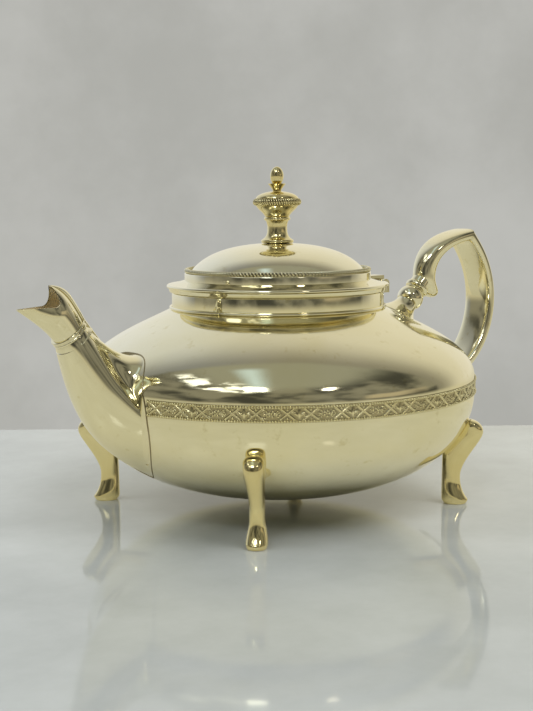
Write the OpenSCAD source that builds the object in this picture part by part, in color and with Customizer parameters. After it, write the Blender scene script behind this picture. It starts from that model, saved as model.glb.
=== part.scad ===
// Footed teapot in silver plate: a bulging bowl on four cabriole feet, a duck-bill spout,
// a strap handle and a hinged dome lid with an urn finial.
// Frame: the table is z = 0, the spout points to -X, the handle to +X.

/* [Bowl] */
// Outer radius of the bowl where its two halves meet
body_r = 85; // [78:0.5:92]
// Thickness of the sheet that the bowl and the lid are made from
wall = 1.2; // [0.8:0.1:1.8]
// Height of the bowl's underside above the table
floor_z = 5.5; // [4:0.5:9]
// Height of the seam between the lower bowl and the shoulder
seam_z = 53; // [48:0.5:57]
// Radius up to which the underside stays broad before it turns up
floor_r = 74; // [66:0.5:78]
// Height at which the shoulder meets the neck collar
shoulder_z = 86; // [83:0.5:89]

/* [Ornament band] */
// Height of the rolled band that covers the seam
band_h = 6.6; // [5:0.2:9]
// Thickness of the band's plain ground
band_t = 0.6; // [0.4:0.1:1]
// Radius of the half-round wires that edge the band
band_wire_r = 0.65; // [0.4:0.05:0.9]

/* [Neck] */
// Outer radius of the neck collar
neck_r = 46; // [42:0.5:50]
// Height of the collar above the shoulder
neck_h = 6.7; // [5:0.1:10]
// Radius of the wire at the foot of the collar
neck_wire_r = 0.6; // [0.4:0.1:1]

/* [Lid] */
// Gap between the lid's rim and the top of the collar
lid_gap = 0.3; // [0.2:0.05:0.6]
// Gap between the lid's sleeve and the inside of the collar
sleeve_gap = 0.6; // [0.5:0.05:1]
// Depth of the sleeve below the lid's rim
sleeve_h = 4.6; // [3:0.2:6]
// How far the lid's rim stands out past the collar
rim_out = 2.2; // [1:0.1:3]
// Height of the lid's rim moulding
rim_h = 4.9; // [4:0.1:6]
// Radius of the step above the rim
step_r = 40.4; // [37:0.2:42]
// Height of the step
step_h = 3.2; // [2:0.1:5]
// Radius of the dome's foot
dome_r = 38; // [35:0.2:38.4]
// Rise of the dome above the step
dome_h = 12.4; // [9:0.1:16]
// Radius of the rope wire on the step
lid_rope_r = 0.95; // [0.6:0.05:1.3]

/* [Finial] */
// Radius of the finial's flared foot
finial_foot_r = 7.2; // [6:0.1:9]
// Radius of the finial's waist
finial_waist_r = 4.3; // [3:0.1:5]
// Height of the foot and waist together
finial_stem_h = 9.4; // [8:0.1:12]
// Radius of the urn under its rope ring
urn_r = 9.9; // [8:0.1:11]
// Height of the urn
urn_h = 12.8; // [11:0.1:15]
// Radius of the rope ring's wire
urn_rope_r = 1.6; // [1:0.05:2]
// Radius of the bud on top
bud_r = 2.95; // [2.4:0.05:3.6]
// Height of the cup and bud together
bud_h = 10.5; // [9:0.1:12]
// Radius of the stud that holds the finial
stud_r = 1.5; // [1.2:0.1:2]

/* [Hinge] */
// Distance of the hinge pin from the pot's axis
hinge_x = 58.5; // [57:0.5:62]
// Height of the hinge pin above the collar's top
hinge_up = 0.8; // [0.4:0.1:1.2]
// Radius of the hinge pin
pin_r = 1; // [0.8:0.1:1.2]
// Radial clearance of the pin in the lid's knuckle
pin_gap = 0.05; // [0.02:0.01:0.08]
// Outer radius of the knuckles
knuckle_r = 2.1; // [2:0.1:2.4]
// Width of the lid's knuckle
lid_knuckle_w = 6.6; // [5:0.2:9]
// Width of each of the two pot knuckles
pot_knuckle_w = 3.4; // [2.6:0.2:5]
// Side gap between neighbouring knuckles
knuckle_gap = 0.3; // [0.2:0.05:0.5]

/* [Spout] */
// Distance of the spout's tip from the pot's axis
spout_reach = 124.5; // [120:0.5:130]
// Height of the spout's tip
spout_tip_z = 91.6; // [88:0.2:95]
// Half the spout's width where it meets the bowl
spout_base_w = 21.8; // [18:0.2:24]
// Radius of the spout under its ring
spout_ring_r = 6.7; // [5.8:0.1:7.6]
// Thickness of the spout's wall
spout_wall = 1.1; // [0.8:0.1:1.4]
// Depth of the flute between the upper and lower swell of the spout
flute_depth = 0.18; // [0:0.02:0.26]
// Length of the ring under the lip
ring_w = 4.8; // [4:0.1:6]
// Height of the ridge on the spout's back
ridge_h = 2; // [1.2:0.1:2.6]
// Diameter of the strainer holes behind the spout
strainer_d = 3; // [2:0.1:4]

/* [Handle] */
// Distance of the handle's outermost point from the pot's axis
handle_reach = 132.6; // [126:0.2:138]
// Height of the handle's crest
handle_top_z = 117.4; // [112:0.2:122]
// Thickness of the handle's back strap
strap_t = 5.4; // [4:0.1:7]
// Width of the handle's back strap
strap_w = 17; // [14:0.2:20]
// Diameter of the handle's upper arm
arm_d = 10.8; // [9:0.1:12]

/* [Feet] */
// How far inside the bowl's widest circle the ankles stand
ankle_inset = 10; // [8:0.5:13]
// Thickness of the ankle
ankle_t = 6.9; // [5:0.1:8]
// Width of the knee
knee_w = 8.2; // [7:0.2:11]
// Width of the sole
sole_w = 8.6; // [7:0.2:11]
// How far the toe reaches out past the ankle
toe_out = 7.4; // [4:0.2:9]

/* [Hidden] */
$fn = 96;

PLATE = [0.86, 0.83, 0.70];
GILT = [0.80, 0.72, 0.48];

// ---------- curves ----------
function bezier_at(p, t) =
    let (s = 1 - t) s * s * s * p[0] + 3 * s * s * t * p[1] + 3 * s * t * t * p[2] + t * t * t * p[3];
function bezier(p, n = 16) = [for (i = [0 : n]) bezier_at(p, i / n)];
function mix(a, b, t) = a + (b - a) * t;
function polar(l, a) = l * [cos(a), sin(a)];
function reversed(p) = [for (i = [len(p) - 1 : -1 : 0]) p[i]];
function smooth(t) = let (c = min(max(t, 0), 1)) c * c * (3 - 2 * c);
// Unit normal on the right of a path at its point i, and the path moved along its normals
function side(p, i) =
    let (d = p[min(i + 1, len(p) - 1)] - p[max(i - 1, 0)]) [d[1], -d[0]] / norm(d);
function shifted(p, d) = [
    for (i = [0 : len(p) - 1]) let (q = p[i] + d * side(p, i)) [max(q[0], 0), q[1]]];

// ---------- derived sizes of the bowl and neck ----------
// The pot's axis, placed so that the frame's origin is under the middle of the whole length
axis_x = (spout_reach - handle_reach) / 2;
band_lo = seam_z - band_h / 2;
band_hi = seam_z + band_h / 2;
rim_z = shoulder_z + neck_h;
neck_in_r = neck_r - wall;
ankle_r = body_r - ankle_inset;
bowl_turn = 0.31;        // share of the bowl's depth that stays upright under the band
shoulder_turn = 14.5;      // height over which the shoulder stays upright above the band
shoulder_run = 12.5;     // length of the shoulder's straight slope at the neck
neck_slope = 28;         // slope of the shoulder at the neck, in degrees
collar_tuck = 2;         // depth of the collar below the shoulder's edge

bowl_path = bezier([
    [body_r, band_lo],
    [body_r, mix(band_lo, floor_z, bowl_turn)],
    [floor_r, floor_z],
    [0, floor_z]
], 22);
shoulder_edge = [neck_r, shoulder_z];
shoulder_path = bezier([
    [body_r, band_hi],
    [body_r, band_hi + shoulder_turn],
    shoulder_edge - polar(shoulder_run, 180 - neck_slope),
    shoulder_edge
], 22);
bowl_radii = [for (p = reversed(bowl_path)) [p[1], p[0]]];
shoulder_radii = [for (p = shoulder_path) [p[1], p[0]]];

// Outer radius of the bowl at height z
function body_at(z) =
    z <= band_lo ? lookup(z, bowl_radii) : z < band_hi ? body_r : lookup(z, shoulder_radii);

// ---------- derived curves of the spout, x being the distance out from the pot's axis ----------
spout_low_z = 19.4;      // lowest point of the spout on the bowl
spout_high_z = 71.5;     // highest point of the spout on the shoulder
ring_tilt = 142;         // direction from the ring's underside to its back
ring_low = [spout_reach - 16.5, spout_tip_z - 14.4];
ring_high = ring_low + polar(2 * spout_ring_r, ring_tilt);
ring_mid = (ring_low + ring_high) / 2;
spout_under = [
    [body_at(spout_low_z), spout_low_z],
    [body_at(spout_low_z), spout_low_z] + polar(31, 16),
    ring_low - polar(33, 77),
    ring_low
];
spout_back = [
    [body_at(spout_high_z), spout_high_z],
    [body_at(spout_high_z), spout_high_z] + polar(13.5, -8),
    ring_high - polar(14, 52),
    ring_high
];
lip_under = [
    ring_low,
    ring_low + polar(6, 60),
    [spout_reach, spout_tip_z] - polar(8, 35),
    [spout_reach, spout_tip_z]
];
hood_top = [spout_reach - 9.5, spout_tip_z + 9.1];
lip_back = [ring_high, ring_high + polar(10, 60), hood_top + [-9, 0.9], hood_top];

flute_low = 0.66;        // height of the flute at the bowl, as a share of the spout's section
flute_high = 0.84;       // the same at the ring
flute_spread = 0.12;     // half the flute's height, as a share of the section
upper_taper = 0.08;      // how much narrower the upper swell is than the lower
foot_point = 0.85;       // squareness of the footprint's lower half, 0.5 being an oval
foot_square = 0.34;      // squareness of its upper half

// Half the width of the spout at share s of its height, t along it, w at its widest
function spout_w(t, s, w) =
    let (on = smooth(t * 3) * smooth((1 - t) * 2.2), at = mix(flute_low, flute_high, t),
         square = mix(s < 0.5 ? foot_point : foot_square, 0.5, smooth(t * 1.6)))
    w * pow(4 * max(s * (1 - s), 0), square)
        * (1 - on * upper_taper * smooth((s - at) / flute_spread / 2 + 0.5))
        * (1 - on * flute_depth * exp(-pow((s - at) / flute_spread, 2)));

// Half the width of the spout's footprint on the bowl at height z
function spout_foot_w(z) =
    spout_w(0, (z - spout_low_z) / (spout_high_z - spout_low_z), spout_base_w);

// ---------- common solids ----------
module on_axis() {
    translate([axis_x, 0, 0]) children();
}

module on_spout() {
    translate([axis_x, 0, 0]) mirror([1, 0, 0]) children();
}

// A closed sheet profile: the outer path and the same path moved in by its thickness
module sheet(path, t) {
    polygon(concat(path, reversed(shifted(path, t))));
}

// The bowl and the shoulder as one full solid, to trim what is soldered on
module body_envelope() {
    rotate_extrude()
        polygon(concat([[0, shoulder_z]], reversed(shoulder_path), bowl_path));
}

// A ring between two points of the XZ plane, half_w wide to each side; square 1 is an oval,
// and less than 1 is squarer
function oval(low, high, half_w, square = 1, n = 20) = [
    for (i = [0 : n - 1])
        let (a = 360 * i / n, c = cos(a), s = sin(a),
             u = sign(c) * pow(abs(c), square), v = sign(s) * pow(abs(s), square),
             p = mix(low, high, (1 - u) / 2))
        [p[0], half_w * v, p[1]]
];

// The wall between rings k and k + 1 of n points, the rings starting at point "from"
function wall_faces(n, m, from = 0) = [
    for (k = [0 : m - 2], i = [0 : n - 1])
        let (j = (i + 1) % n, a = from + k * n, b = a + n) [a + i, b + i, b + j, a + j]];
function flipped(faces) = [for (f = faces) reversed(f)];

// Joins closed rings of equally many points into a solid, with a cap on each end
module loft(rings) {
    n = len(rings[0]);
    m = len(rings);
    polyhedron(
        points = [for (ring = rings) each ring],
        faces = concat(
            [[for (i = [0 : n - 1]) i]],
            wall_faces(n, m),
            [[for (i = [n - 1 : -1 : 0]) (m - 1) * n + i]]
        ));
}

// Joins outer and inner rings into an open tube
module tube_loft(outer, inner) {
    n = len(outer[0]);
    m = len(outer);
    far = m * n;
    last = (m - 1) * n;
    polyhedron(
        points = concat([for (ring = outer) each ring], [for (ring = inner) each ring]),
        faces = concat(
            wall_faces(n, m),
            flipped(wall_faces(n, m, far)),
            [for (i = [0 : n - 1]) let (j = (i + 1) % n) [i, j, far + j, far + i]],
            [for (i = [0 : n - 1]) let (j = (i + 1) % n)
                [last + j, last + i, far + last + i, far + last + j]]
        ));
}

// ---------- bowl ----------
strainer_pitch = 5.2;
strainer_rows = 4;
strainer_low_z = 29;

module strainer_holes() {
    for (row = [0 : strainer_rows - 1]) {
        holes = 5 - row % 2;
        for (i = [0 : holes - 1])
            translate([0, (i - (holes - 1) / 2) * strainer_pitch, strainer_low_z + row * strainer_pitch])
                rotate([0, -90, 0]) cylinder(r = strainer_d / 2, h = body_r + wall, $fn = 24);
    }
}

module bowl() {
    color(PLATE) on_axis() difference() {
        rotate_extrude() sheet(concat([[body_r, seam_z]], bowl_path), wall);
        strainer_holes();
    }
}

module shoulder() {
    inner_edge = shoulder_edge + polar(2 * wall, 180 - neck_slope);
    color(PLATE) on_axis() rotate_extrude() difference() {
        sheet(concat([inner_edge], reversed(shoulder_path), [[body_r, seam_z]]), wall);
        square([neck_r, 2 * shoulder_z]);
    }
}

// The rolled band stops at the spout, which covers the seam there
band_wire_out = 0.5;     // how far the edge wires' centres stand off the bowl

module gallery_band() {
    cut = asin((spout_foot_w(band_lo) + 0.3) / body_r);
    color(GILT) on_axis() rotate([0, 0, 180 + cut])
        rotate_extrude(angle = 360 - 2 * cut) intersection() {
            translate([body_r, band_lo]) square(band_h);
            union() {
                square([body_r + band_t, 2 * seam_z]);
                for (z = [band_lo + band_wire_r, band_hi - band_wire_r])
                    translate([body_r + band_wire_out, z]) circle(r = band_wire_r, $fn = 24);
            }
        }
}

// ---------- neck ----------
module neck_collar() {
    color(PLATE) on_axis() rotate_extrude()
        translate([neck_in_r, shoulder_z - collar_tuck]) square([wall, neck_h + collar_tuck]);
}

// A round wire that lies against both the collar and the shoulder's slope
module neck_wire() {
    wire_z = shoulder_z + neck_wire_r * (1 / cos(neck_slope) - tan(neck_slope));
    color(PLATE) on_axis() rotate_extrude() difference() {
        translate([neck_r + neck_wire_r, wire_z]) circle(r = neck_wire_r, $fn = 32);
        square([neck_r, 2 * shoulder_z]);
        polygon(concat([[0, shoulder_z]], reversed(shoulder_path), [[0, band_hi]]));
    }
}

// ---------- spout ----------
SPOUT_N = 40;
SPOUT_STEPS = 18;
LIP_STEPS = 10;
lip_tip_w = 2.4;         // half the width of the lip's last section
mouth_rise = 9;          // how far the cut that opens the mouth reaches above the hood
mouth_back = [spout_reach - 15.2, spout_tip_z + 0.6];
mouth_front = [spout_reach + 10, spout_tip_z + 0.2];
ridge_w = 2.9;           // half the width of the ridge at its foot

function spout_mid_w(t) = mix(spout_ring_r, spout_base_w, pow(1 - t, 0.75));

// One ring of the spout, t from 0 on the bowl to 1 at the ring, moved in by d
function spout_section(t, d) =
    let (low = bezier_at(spout_under, t), high = bezier_at(spout_back, t),
         inward = d * (high - low) / norm(high - low), a = low + inward, b = high - inward,
         swell = pow(1 - t, 2))
    [for (i = [0 : SPOUT_N - 1])
        let (u = 360 * i / SPOUT_N, s = (1 - cos(u)) / 2, p = mix(a, b, s),
             y = sign(sin(u)) * spout_w(t, s, spout_mid_w(t) - d),
             bulge = sqrt(pow(body_at(p[1]), 2) - pow(y, 2)) - mix(a[0], b[0], s))
        [p[0] + swell * bulge, y, p[1]]];
function spout_rings(d) = [for (k = [0 : SPOUT_STEPS]) spout_section(k / SPOUT_STEPS, d)];

function lip_section(t, d) =
    let (low = bezier_at(lip_under, t), high = bezier_at(lip_back, t),
         inward = d * (high - low) / norm(high - low))
    oval(low + inward, high - inward,
        mix(spout_ring_r, lip_tip_w, smooth((t - 0.4) / 0.6)) - d, 1, SPOUT_N);
function lip_rings(d) = [for (k = [0 : LIP_STEPS]) lip_section(k / LIP_STEPS, d)];

module spout_shell() {
    color(PLATE) on_spout() tube_loft(spout_rings(0), spout_rings(spout_wall));
}

// A flat band with a wire on its upper edge and one in the middle; it is open at the back,
// where the ridge runs through
ring_top = 1.4;          // how far the ring reaches up over the lip
ring_bead = 0.4;
ring_band_t = 0.45;
ring_flare = 0.36;       // how fast the band widens towards the bowl

module spout_ring() {
    gap = asin((ridge_w + 0.1) / spout_ring_r);
    color(PLATE) on_spout() difference() {
        translate([ring_mid[0], 0, ring_mid[1]]) rotate([0, 180 - ring_tilt, 0])
            rotate([0, 0, 180 + gap]) rotate_extrude(angle = 360 - 2 * gap) {
                out = spout_ring_r + ring_band_t;
                polygon([
                    [spout_ring_r - 1, ring_top],
                    [out, ring_top],
                    [out, 0],
                    [out + ring_flare * (ring_w - ring_top), ring_top - ring_w],
                    [spout_ring_r - 1, ring_top - ring_w]
                ]);
                for (z = [ring_top - ring_bead, -ring_bead])
                    translate([out, z]) circle(r = ring_bead, $fn = 20);
            }
        loft(spout_rings(0));
        loft(lip_rings(0));
    }
}

// What is cut from the lip to open its mouth: a curved back edge and a straight beak edge
module mouth_cut() {
    top = mouth_back + [2.6, 9.8];
    rotate([90, 0, 0]) linear_extrude(height = 4 * spout_ring_r, center = true)
        polygon(concat(
            bezier([top, mouth_back + [-1, 5.6], mouth_back + [-2, 0.6], mouth_back + [1.6, 0]], 8),
            [mouth_front, mouth_front + [0, 2 * mouth_rise], top + [0, mouth_rise]]));
}

module spout_lip() {
    color(PLATE) on_spout() difference() {
        tube_loft(lip_rings(0), lip_rings(spout_wall));
        mouth_cut();
    }
}

// The ridge follows the spout's back from its scroll end, over the ring, to the hood
ridge_from = 0.42;
ridge_to = 0.8;
ridge_sink = 0.6;

function ridge_path() = concat(
    [for (k = [0 : 7]) bezier_at(spout_back, mix(ridge_from, 1, k / 7))],
    [for (k = [1 : 6]) bezier_at(lip_back, ridge_to * k / 6)]);

module spout_ridge() {
    path = ridge_path();
    last = len(path) - 1;
    color(PLATE) on_spout() difference() {
        loft([for (i = [0 : last])
            let (out = -side(path, i), fade = smooth(4 * min(i + 0.4, last - i + 0.6) / last),
                 half_w = mix(ridge_w, 1.2, i / last) * mix(0.5, 1, fade))
            oval(path[i] - ridge_sink * out, path[i] + ridge_h * fade * out, half_w, 1.4, 12)]);
        loft(spout_rings(0));
        loft(lip_rings(0));
    }
}

// ---------- handle, x again being the distance out from the pot's axis ----------
arm_x = handle_reach - 42.4;
arm_z = 95;              // height at which the arm stands upright
crest_out = [handle_reach - 15.8, handle_top_z];
crest_in = crest_out - [2.9, 6.2];
belly_z = 83;            // height of the strap's outermost point
boss_z = 36.6;
boss_x = body_at(boss_z) + 10.5;
boss_r = 5.2;

arm_outer = [
    [arm_x - arm_d / 2, arm_z],
    [arm_x - arm_d / 2, arm_z + 13],
    crest_out - [18.8, 2.4],
    crest_out
];
arm_inner = [
    [arm_x + arm_d / 2, arm_z],
    [arm_x + arm_d / 2, arm_z + 8.5],
    crest_in - [12, 1.2],
    crest_in
];
drop_outer = [
    [arm_x + 4, arm_z - 10.2],
    [arm_x - 1.5, arm_z - 9.2],
    [arm_x - arm_d / 2, arm_z - 6.5],
    [arm_x - arm_d / 2, arm_z]
];
drop_inner = [
    [arm_x + 6.4, arm_z - 10],
    [arm_x + 10.6, arm_z - 7.3],
    [arm_x + arm_d / 2 - 0.6, arm_z - 4],
    [arm_x + arm_d / 2, arm_z]
];
strap_mid_x = handle_reach - strap_t / 2;
turn = [handle_reach - 18, boss_z + 15.4];
strap_upper = [
    (crest_in + crest_out) / 2,
    crest_out + [7.4, -11.6],
    [strap_mid_x, belly_z + 12],
    [strap_mid_x, belly_z]
];
strap_middle = [
    [strap_mid_x, belly_z],
    [strap_mid_x, belly_z - 12.5],
    turn + polar(12, 38.5),
    turn
];
strap_lower = [turn, turn - polar(8.5, 38.5), [boss_x + 9, boss_z + 1.5], [boss_x, boss_z]];

strap_edge = 0.6;        // squareness of the strap's section

module handle_arm() {
    drop_steps = 6;
    arm_steps = 14;
    color(PLATE) on_axis() loft(concat(
        [for (k = [0 : drop_steps - 1]) let (t = k / drop_steps)
            oval(bezier_at(drop_inner, t), bezier_at(drop_outer, t),
                arm_d / 2 * sqrt(1 - pow(1 - t, 2) * 0.94), 1, 24)],
        [for (k = [0 : arm_steps]) let (t = k / arm_steps)
            oval(bezier_at(arm_inner, t), bezier_at(arm_outer, t),
                mix(arm_d, strap_w, smooth(t)) / 2, mix(1, strap_edge, smooth(t)), 24)]
    ));
}

module handle_back() {
    upper = bezier(strap_upper, 12);
    middle = bezier(strap_middle, 10);
    lower = bezier(strap_lower, 10);
    path = concat(
        upper,
        [for (i = [1 : len(middle) - 1]) middle[i]],
        [for (i = [1 : len(lower) - 1]) lower[i]]);
    last = len(path) - 1;
    narrow_from = 0.62;
    color(PLATE) on_axis() loft([for (i = [0 : last])
        let (narrow = smooth((i / last - narrow_from) / (1 - narrow_from)),
             out = i == 0 ? (crest_out - crest_in) / strap_t : i == last ? [0, -1] : -side(path, i))
        oval(path[i] - out * strap_t / 2, path[i] + out * strap_t / 2,
            mix(strap_w, 2 * boss_r - 1, narrow) / 2, strap_edge, 24)]);
}

// A trumpet foot with a waist and a turned knop, soldered on the shoulder and holding the arm
saddle_top = [arm_x - 1.6, arm_z - 2.1];
saddle_rise = saddle_top[1] - saddle_top[0];
saddle_foot_r = lookup(saddle_rise, [for (p = shoulder_path) [p[1] - p[0], p[0]]]);
saddle_h = (saddle_top[0] - saddle_foot_r) / cos(45);
saddle_w = 12.6;         // radius of the trumpet foot

// The turning leans out at 45 degrees from the shoulder to the arm. Its outline is given for a foot
// of 12.6 and a length of 27: the trumpet foot, the knop and the collar under the arm
saddle_outline = concat(
    [[0, -5], [13, -5]],
    bezier([[12.6, 0], [9.4, 4], [5.2, 7.5], [4.9, 12.5]], 10),
    bezier([[5.6, 13], [7.2, 15], [6.8, 17.8], [4.7, 20]], 8),
    bezier([[4.7, 20.6], [6.1, 21.4], [6.1, 23], [4.8, 24]], 6),
    [[4.8, 27], [0, 27]]);

module handle_saddle() {
    color(PLATE) on_axis() difference() {
        translate([saddle_foot_r, 0, saddle_foot_r + saddle_rise]) rotate([0, 45, 0])
            rotate_extrude()
            polygon([for (p = saddle_outline) [p[0] * saddle_w / 12.6, p[1] * saddle_h / 27]]);
        body_envelope();
        translate([arm_x, 0, 0]) cylinder(r = arm_d / 2, h = 2 * arm_z);
    }
}

// A turned boss on the bowl's side, which carries the strap's lower end
module handle_lower_boss() {
    length = boss_x - body_at(boss_z);
    color(PLATE) on_axis() difference() {
        translate([body_at(boss_z), 0, boss_z]) rotate([0, 90, 0])
            rotate_extrude() polygon(concat(
                [[0, -4], [boss_r + 4, -4]],
                bezier([[boss_r + 4, 0], [boss_r + 1, 2], [boss_r - 1, 4], [boss_r - 0.6, length - 4]], 8),
                bezier([[boss_r, length - 3.6], [boss_r + 1.4, length - 2.6],
                    [boss_r + 1.4, length - 0.6], [boss_r, length]], 6),
                [[0, length]]));
        body_envelope();
    }
}

// ---------- feet ----------
foot_high = 36.8;        // top of the seat on the bowl
foot_mid = 31;           // height on the bowl at which the knee's cap ends
foot_low = 23.6;         // bottom of the seat on the bowl
ankle_w = 6.2;
far_foot_angle = 140;    // this foot is soldered a little nearer the spout than its fellow
ankle_front = ankle_r + ankle_t / 2 + 1.1;
ankle_back = ankle_r - ankle_t / 2;
shin_z = 13.4;           // height at which the knee has run out into the ankle

// The front of the foot: the sloping cap of the knee, the knee down to the ankle, and the toe
cap_front = [
    [body_r - 1.2, foot_high + 0.2],
    [body_r + 2.6, foot_high - 0.4],
    [body_r + 5, foot_high - 3.4],
    [body_r + 3.8, foot_mid - 0.8]
];
knee_front = [
    [body_r + 3.8, foot_mid - 0.8],
    [body_r + 2.4, foot_mid - 4.6],
    [ankle_front + 0.9, shin_z + 5.6],
    [ankle_front, shin_z]
];
shin_front = [
    [ankle_front, shin_z],
    [ankle_front - 0.4, shin_z - 3],
    [ankle_front, 5.8],
    [ankle_r + toe_out + 0.4, 1.8]
];
shin_back = [
    [body_at(foot_low), foot_low],
    [ankle_back, 15.5],
    [ankle_back - 0.2, 9],
    [ankle_back - 0.2, 2.4]
];

module foot(angle) {
    steps = 6;
    color(GILT) on_axis() rotate([0, 0, angle]) loft(concat(
        [for (k = [0 : steps - 1])
            let (t = k / steps, z = mix(foot_high, foot_mid, t))
            oval([body_at(z), z], bezier_at(cap_front, t),
                knee_w / 2 * sin(90 * min(1, 0.4 + 1.2 * t)), 0.85)],
        [for (k = [0 : steps - 1])
            let (t = k / steps, z = mix(foot_mid, foot_low, t))
            oval([body_at(z), z], bezier_at(knee_front, t), mix(knee_w, ankle_w, smooth(t)) / 2, 0.85)],
        [for (k = [0 : steps + 1])
            let (t = k / (steps + 1))
            oval(bezier_at(shin_back, t), bezier_at(shin_front, t),
                mix(ankle_w, sole_w, smooth((t - 0.45) / 0.55)) / 2, 0.85)],
        [oval([ankle_back + 1.2, 0], [ankle_r + toe_out - 0.6, 0], sole_w / 2 - 0.5, 0.85)]
    ));
}

module foot_spout_left() {
    foot(-135);
}

module foot_spout_right() {
    foot(far_foot_angle);
}

module foot_handle_left() {
    foot(-45);
}

module foot_handle_right() {
    foot(45);
}

// ---------- lid ----------
lid_z = rim_z + lid_gap;
lid_rim_r = neck_r + rim_out;
sleeve_r = neck_in_r - sleeve_gap;
step_base_z = lid_z + rim_h;
step_z = step_base_z + step_h;
apex_z = step_z + dome_h;
stud_gap = 0.05;

module lid_rim_profile() {
    bead = 0.75;
    polygon([
        [sleeve_r - wall, lid_z],
        [lid_rim_r - 1.2, lid_z],
        [lid_rim_r - 0.8, lid_z + rim_h / 3],
        [lid_rim_r - 0.8, lid_z + 0.65 * rim_h],
        [step_r + 3.4, lid_z + 0.78 * rim_h],
        [step_r + 0.7, lid_z + rim_h - 0.3],
        [step_r, step_base_z],
        [step_r - wall, step_base_z],
        [step_r - wall, step_base_z - wall],
        [sleeve_r - wall, lid_z + wall]
    ]);
    translate([lid_rim_r - bead, lid_z + rim_h / 2]) circle(r = bead, $fn = 32);
}

module lid_rim() {
    color(PLATE) on_axis() rotate_extrude() lid_rim_profile();
}

module lid_sleeve() {
    color(PLATE) on_axis() rotate_extrude()
        translate([sleeve_r - wall, lid_z - sleeve_h]) square([wall, sleeve_h]);
}

module lid_cover() {
    dome = bezier([[0, apex_z], [0.44 * dome_r, apex_z], [0.82 * dome_r, apex_z - 0.24 * dome_h],
        [dome_r, step_z]], 20);
    corner = 0.5;
    color(PLATE) on_axis() difference() {
        rotate_extrude() polygon(concat(
            dome,
            [[step_r - corner, step_z], [step_r, step_z - corner], [step_r, step_base_z]],
            [[step_r - wall, step_base_z], [step_r - wall, step_z - wall], [dome_r, step_z - wall]],
            reversed(shifted(dome, wall))));
        translate([0, 0, apex_z - 2 * wall]) cylinder(r = stud_r + stud_gap, h = 4 * wall);
    }
}

module lid_rope() {
    color(GILT) on_axis() rotate_extrude()
        translate([step_r - lid_rope_r + 0.1, step_z + lid_rope_r]) circle(r = lid_rope_r, $fn = 32);
}

// ---------- finial ----------
urn_z = apex_z + finial_stem_h;
bud_z = urn_z + urn_h;
socket_h = 4.2;          // depth of the stud's socket in the urn

module finial_stem() {
    color(GILT) on_axis() rotate_extrude() translate([0, apex_z])
        polygon(concat(
            [[stud_r, 0], [finial_foot_r - 1, 0], [finial_foot_r - 0.2, 0.3], [finial_foot_r, 0.8]],
            bezier([[finial_foot_r - 0.4, 1.4], [4.9, 2.4], [finial_waist_r, 3.6],
                [finial_waist_r, 6.5]], 8),
            bezier([[finial_waist_r, 6.9], [finial_waist_r, 8], [finial_waist_r + 0.3, finial_stem_h - 0.6],
                [finial_waist_r + 0.5, finial_stem_h]], 5),
            [[stud_r, finial_stem_h]]));
}

module finial_rope_at() {
    translate([urn_r - 1, urn_z + 0.64 * urn_h]) circle(r = urn_rope_r, $fn = 32);
}

module finial_urn() {
    color(GILT) on_axis() rotate_extrude() difference() {
        translate([0, urn_z]) polygon(concat(
            [[stud_r, 0], [4.8, 0], [5.5, 0.5], [5.7, 1.1], [5.4, 1.7], [5.1, 2]],
            bezier([[5.4, 2.2], [6.2, 4], [urn_r - 1.7, 4.6], [urn_r - 0.6, 7]], 6),
            bezier([[urn_r - 0.7, 0.76 * urn_h], [urn_r - 1, urn_h - 1.6], [6, urn_h - 0.4],
                [1.8, urn_h]], 8),
            [[0, urn_h], [0, socket_h], [stud_r, socket_h]]));
        finial_rope_at();
    }
}

module finial_rope() {
    color(GILT) on_axis() rotate_extrude() finial_rope_at();
}

// An open cup with a bud rising out of it
module finial_bud() {
    color(GILT) on_axis() rotate_extrude() translate([0, bud_z])
        polygon(concat(
            [[0, 0]],
            bezier([[1.8, 0], [2, 1.2], [bud_r, 1.8], [bud_r + 0.9, 3.2]], 6),
            [[bud_r + 0.5, 3.3], [2.2, 2.4], [1.4, 2.7]],
            bezier([[1.5, 3], [bud_r, 4.2], [bud_r + 0.4, 7], [2.4, 8.8]], 8),
            bezier([[2.2, 9.1], [1.8, 9.8], [1, bud_h], [0, bud_h]], 5)));
}

washer_h = 0.6;
nut_h = 2.2;
washer_top_z = apex_z - wall - 0.12;

module finial_stud() {
    bottom = washer_top_z - washer_h - nut_h - 0.8;
    color(GILT) on_axis() translate([0, 0, bottom])
        cylinder(r = stud_r, h = urn_z + socket_h - bottom);
}

module finial_washer() {
    color(GILT) on_axis() translate([0, 0, washer_top_z - washer_h]) difference() {
        cylinder(r = 2.7 * stud_r, h = washer_h);
        translate([0, 0, -1]) cylinder(r = stud_r + stud_gap, h = washer_h + 2);
    }
}

module finial_nut() {
    color(GILT) on_axis() translate([0, 0, washer_top_z - washer_h - nut_h]) difference() {
        cylinder(r = 2.2 * stud_r, h = nut_h, $fn = 6);
        translate([0, 0, -1]) cylinder(r = stud_r, h = nut_h + 2);
    }
}

// ---------- hinge ----------
hinge_z = rim_z + hinge_up;
leaf_t = 1.8;
leaf_w = lid_knuckle_w + 2 * (knuckle_gap + pot_knuckle_w);

module along_pin(w) {
    translate([hinge_x, -w / 2, hinge_z]) rotate([-90, 0, 0]) children();
}

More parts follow.
